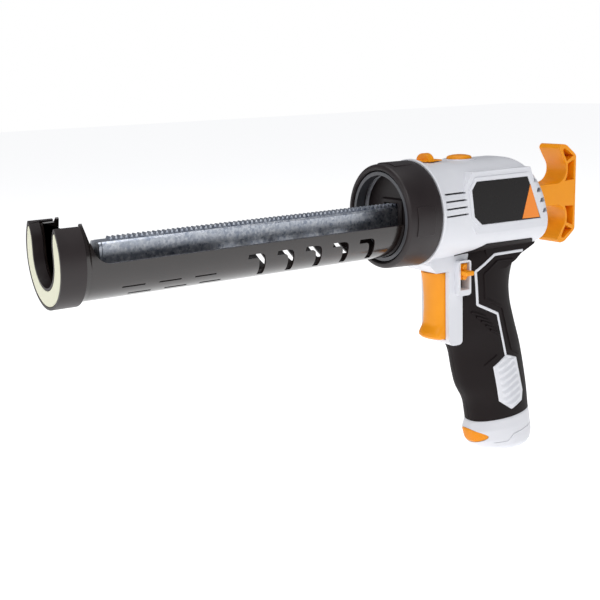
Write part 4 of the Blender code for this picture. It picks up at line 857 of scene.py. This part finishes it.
# ==== label panels ================================================================================
# Printed polycarbonate film, gloss black with a plain orange corner wedge, set in a raised surround.
film = moulded("gloss_black_film", "#0D0909", "#080505", 0.28, 0.0009, 0.000004, ior=1.58, shine=0.22)
wedge_orange = moulded("printed_orange", "#F58A08", "#F08203", 0.30, 0.0009, 0.000004, ior=1.58)
WEDGE = np.array([(303.6, 15.2), (313.0, -8.6), (296.6, -8.2)]) / 1000
for word, side in (("left", -1), ("right", 1)):
    low, high = sorted((side * 0.0304, side * 0.0314))
    panel = prism("label_film_" + word, label_outline(-0.0002), "Y", low, high, film)
    fit(soften(panel, 0.0002), "housing", "label", "label_panel_" + word)
    low, high = sorted((side * 0.0308, side * 0.0315))
    fit(prism("label_wedge_" + word, WEDGE, "Y", low, high, wedge_orange), "housing", "label")


# ==== trigger =====================================================================================
# Moulded in orange ABS with a rounded, slightly hollowed front and a toe; it slides straight back.
TRIGGER_FACE = FRAME_FRONT - 0.0062
TRIGGER_REAR = FRAME_FRONT + 0.0060


def trigger_rings():
    """Half-round nose in plan at each height; its front follows a curve that swells out at the toe."""
    z = np.concatenate([[-0.0426, -0.0430], np.linspace(-0.0440, -0.0875, 28), [-0.0890, -0.0896]])
    heights = [-0.0896, -0.0885, -0.0865, -0.0840, -0.0800, -0.0700, -0.0600, -0.0500, -0.0426]
    swells = [-0.0022, -0.0042, -0.0048, -0.0034, -0.0008, 0.0, 0.0, -0.0008, -0.0024]
    front = TRIGGER_FACE + np.interp(z, heights, swells)
    t = np.linspace(-np.pi / 2, np.pi / 2, 41)
    rings = []
    for height, x in zip(z, front):
        pull = np.interp(height, [-0.0896, -0.0885, -0.0430, -0.0426], [0.0008, 0.0, 0.0, 0.0004])
        half = TRIGGER_HALF - pull
        nose = np.stack([x + pull + 0.0085 * (1 - np.cos(t) ** 0.8), half * np.sin(t), np.full_like(t, height)], -1)
        rings.append(np.concatenate([nose, [(TRIGGER_REAR, half, height), (TRIGGER_REAR, -half, height)]]))
    return rings


pull = lofted("trigger_grip", trigger_rings(), orange)
boolean(pull, "DIFFERENCE", [solid_of_revolution(
    "bore", [(TRIGGER_REAR - 0.0064, 0.0034), (TRIGGER_REAR + 0.001, 0.0034)], "X", (0, 0, -0.0600), 40)])
fit(pull, "trigger", "orange_plastic", "trigger")


# ==== direction selector ==========================================================================
# Orange ABS slider in the left window, with a cross-ribbed thumb tab.
selector_y = -GRIP_HALF
selector = box_of((SWITCH_X - 0.0036, selector_y + 0.0012, -0.0475), (SWITCH_X + 0.0036, selector_y + 0.0068, -0.0362),
                  0.0007, "selector_slider", orange)
fit(selector, "selector", "orange_plastic", "direction_selector")
tab = box_of((SWITCH_X - 0.0036, selector_y - 0.0062, -0.0440), (SWITCH_X + 0.0034, selector_y + 0.0020, -0.0408),
             0.0008, "selector_tab", orange)
fit(tab, "selector", "orange_plastic")
for k, z in enumerate((-0.0455, -0.0389)):
    lobe = prism("selector_lobe_%d" % (k + 1), arc((SWITCH_X, z), 0.0021, 0, 2 * np.pi, 33)[:-1], "Y",
                 selector_y - 0.0004, selector_y + 0.0016, orange, bevel=0.0005)
    fit(lobe, "selector", "orange_plastic")


# ==== release button and cradle lock ==============================================================
# Both moulded in orange ABS: a low domed button on a white boss, and a thin slide with a round tab.
dome = [(0.0320, BUTTON_R), (0.0344, BUTTON_R), (0.0351, BUTTON_R - 0.0004), (0.0356, BUTTON_R - 0.0014),
        (0.0361, BUTTON_R - 0.0036), (0.0364, BUTTON_R - 0.0064)]
t = np.linspace(0, 2 * np.pi, 97)[:-1]
rings = [along("Z", np.stack([BUTTON_X + r * np.cos(t), r * np.sin(t)], -1), z) for z, r in dome]
fit(lofted("release_button_cap", rings, orange, sharp=50), "release_button", "orange_plastic", "release_button")

SPRING_LOW, SPRING_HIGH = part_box("release_spring")[0].z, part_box("release_spring")[1].z


def coil_rings(radius, wire, turns, low, high):
    """Helix (r cos t, r sin t, rising evenly) with a round wire and ten points round the wire."""
    t = np.linspace(0, 2 * np.pi * turns, 30 * turns)
    a = np.linspace(0, 2 * np.pi, 10, endpoint=False)
    reach = radius + wire * np.cos(a)[None, :]
    rise = low + wire + (high - low - 2 * wire) * t / t[-1]
    return np.stack([BUTTON_X + reach * np.cos(t)[:, None], reach * np.sin(t)[:, None],
                     rise[:, None] + wire * np.sin(a)[None, :]], -1)


coil = lofted("release_coil", coil_rings(0.0030, 0.0003, 6, SPRING_LOW, SPRING_HIGH), steel)
fit(coil, "housing", "steel", "release_spring")
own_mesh(coil)

slide = box_of((LOCK_X - 0.0052, -0.0056, 0.0336), (LOCK_X + 0.0110, 0.0056, 0.0346), name="lock_slide", finish=orange)
tab = arc((0, 0.0336), 0.0056, 0, np.pi, 25) * (1.24, 1)
boolean(slide, "UNION", [prism("tab", tab, "X", LOCK_X - 0.0012, LOCK_X + 0.0034, None),
                         box_of((LOCK_X - 0.0010, -0.0041, 0.0305), (LOCK_X + 0.0030, 0.0041, 0.0340))])
fit(soften(slide, 0.0005, segments=3), "cradle_lock", "orange_plastic", "cradle_lock_slider")


# ==== battery base and latch ======================================================================
# The battery's white ABS foot, with a ribbed orange latch button across its front.
BASE_BOTTOM = cad_box[0][2]
LATCH = (BODY_FRONT + 0.0547, -0.1690)
BASE_TABLE = np.array([
    (0.0, 0.0526, 0.1038, -0.0004), (0.04, 0.0520, 0.1042, 0.0000), (0.30, 0.0497, 0.1054, 0.0006),
    (0.62, 0.0520, 0.1068, 0.0006), (0.82, 0.0560, 0.1059, -0.0002), (0.92, 0.0592, 0.1038, -0.0016),
    (0.97, 0.0622, 0.1010, -0.0032), (1.0, 0.0668, 0.0948, -0.0062)])


def base_rings(inset):
    """Superellipses from the sloping seat on the grip down to the flat foot, narrowed at the front."""
    rings = []
    for share in np.concatenate([np.linspace(0, 0.82, 24), np.linspace(0.84, 1.0, 14)]):
        front, rear, wider = (np.interp(share, BASE_TABLE[:, 0], BASE_TABLE[:, k]) for k in (1, 2, 3))
        reach = (rear - front) / 2
        flat = oval(reach - inset, GRIP_HALF + wider - inset, 2.4, 112)
        flat[:, 1] *= 1 - FRONT_NARROW * np.maximum(0, -flat[:, 0] / reach)
        top = GRIP_END[0] + (GRIP_END[1] - GRIP_END[0]) * (flat[:, 0] / reach + 1) / 2
        rings.append(np.stack([BODY_FRONT + (front + rear) / 2 + flat[:, 0], flat[:, 1],
                               top + (BASE_BOTTOM - top) * share], -1))
    return rings


def latch_body(name, grow, depth):
    """A lens seen from the front, running back to a depth behind the latch's rear face."""
    lens = oval(GRIP_HALF - 0.0062 + grow, 0.0052 + grow, 1.8, 72) + (0, LATCH[1])
    return prism(name, lens, "X", BODY_FRONT + 0.0350, LATCH[0] + depth, None)


base = lofted("battery_foot", base_rings(0.0), white)
boolean(base, "DIFFERENCE", [latch_body("pocket", 0.0004, 0.0080)])
for side in (-1, 1):
    line = np.array([(0.0640, -0.1745), (0.0745, -0.1738), (0.0785, -0.1688), (0.1100, -0.1640),
                     (0.1100, -0.1634), (0.0781, -0.1682), (0.0741, -0.1732), (0.0640, -0.1739)]) + (BODY_FRONT, 0)
    low, high = sorted((side * 0.0120, side * 0.0300))
    groove = prism("groove", line, "Y", low, high, None)
    boolean(groove, "DIFFERENCE", [lofted("inner", base_rings(0.0005), None)])
    boolean(base, "DIFFERENCE", [groove])
fit(soften(base, 0.0003, angle=40), "battery", "white_plastic", "battery_base")

knurl_orange = moulded("orange_abs_studded", "#F79D06", "#EC8E00", 0.42, 0.0004, 0.00003, ior=1.52, shine=0.35)
latch = latch_body("latch_button", 0.0, 0.0053)
boolean(latch, "INTERSECT", [lofted("skin", base_rings(0.0003), None)])
boolean(latch, "DIFFERENCE", [solid_of_revolution("bore", [(LATCH[0] - 0.0026, 0.0025), (LATCH[0] + 0.009, 0.0025)],
                                                  "X", (0, 0, LATCH[1]), 40)])
fit(coated(latch, knurl_orange), "latch", "orange_plastic", "battery_latch")


def studs(surface):
    """Low four-sided studs 1.7 mm apart in a slanting grid, each set where a line along X meets the latch."""
    tree = BVHTree.FromObject(surface, bpy.context.evaluated_depsgraph_get())
    points, faces = [], []
    for row in range(-4, 5):
        for column in range(-9, 10):
            y, z = 0.00165 * column + 0.0006 * row, LATCH[1] + 0.00115 * row
            if abs(y / 0.0122) ** 1.8 + abs((z - LATCH[1]) / 0.0046) ** 1.8 > 1:
                continue
            hit, normal, _, _ = tree.ray_cast(Vector((0.20, y, z)), Vector((1, 0, 0)))
            if hit is None or normal.x > -0.2:
                continue
            beside = normal.cross(Vector((0, 0, 1))).normalized() * 0.00062
            above = beside.cross(normal).normalized() * 0.00052
            first = len(points)
            points += [hit + beside, hit + above, hit - beside, hit - above, hit + normal * 0.00042]
            points += [hit - normal * 0.0004]
            faces += [(first + k, first + (k + 1) % 4, first + 4) for k in range(4)]
            faces += [(first + (k + 1) % 4, first + k, first + 5) for k in range(4)]
    return piece("latch_studs", [tuple(point) for point in points], faces, knurl_orange, sharp=20)


bpy.context.view_layer.update()
fit(studs(latch), "latch", "orange_plastic")


# ==== pieces inside ===============================================================================
# Drive, guides, board and battery stick keep their CAD shapes and get the finishes they really have.
brass = bare_metal("machined_brass", "#A8813C", "#D9B56A")
board = moulded("fibreglass_board", "#1F6B3C", "#195A32", 0.35, 0.0008, 0.00002)
wrap = moulded("cell_shrink_wrap", "#4C86B4", "#417AA8", 0.32, 0.0010, 0.00001)
for node in ("worm_wheel", "shaft_bearing_left", "shaft_bearing_right", "battery_contacts"):
    refinish(node, brass)
for node in ("battery_shell", "front_guide", "rear_guide", "trigger_switch"):
    refinish(node, cap_black)
for node in ("battery_cell_1", "battery_cell_2", "battery_cell_3"):
    refinish(node, wrap)
refinish("circuit_board", board)
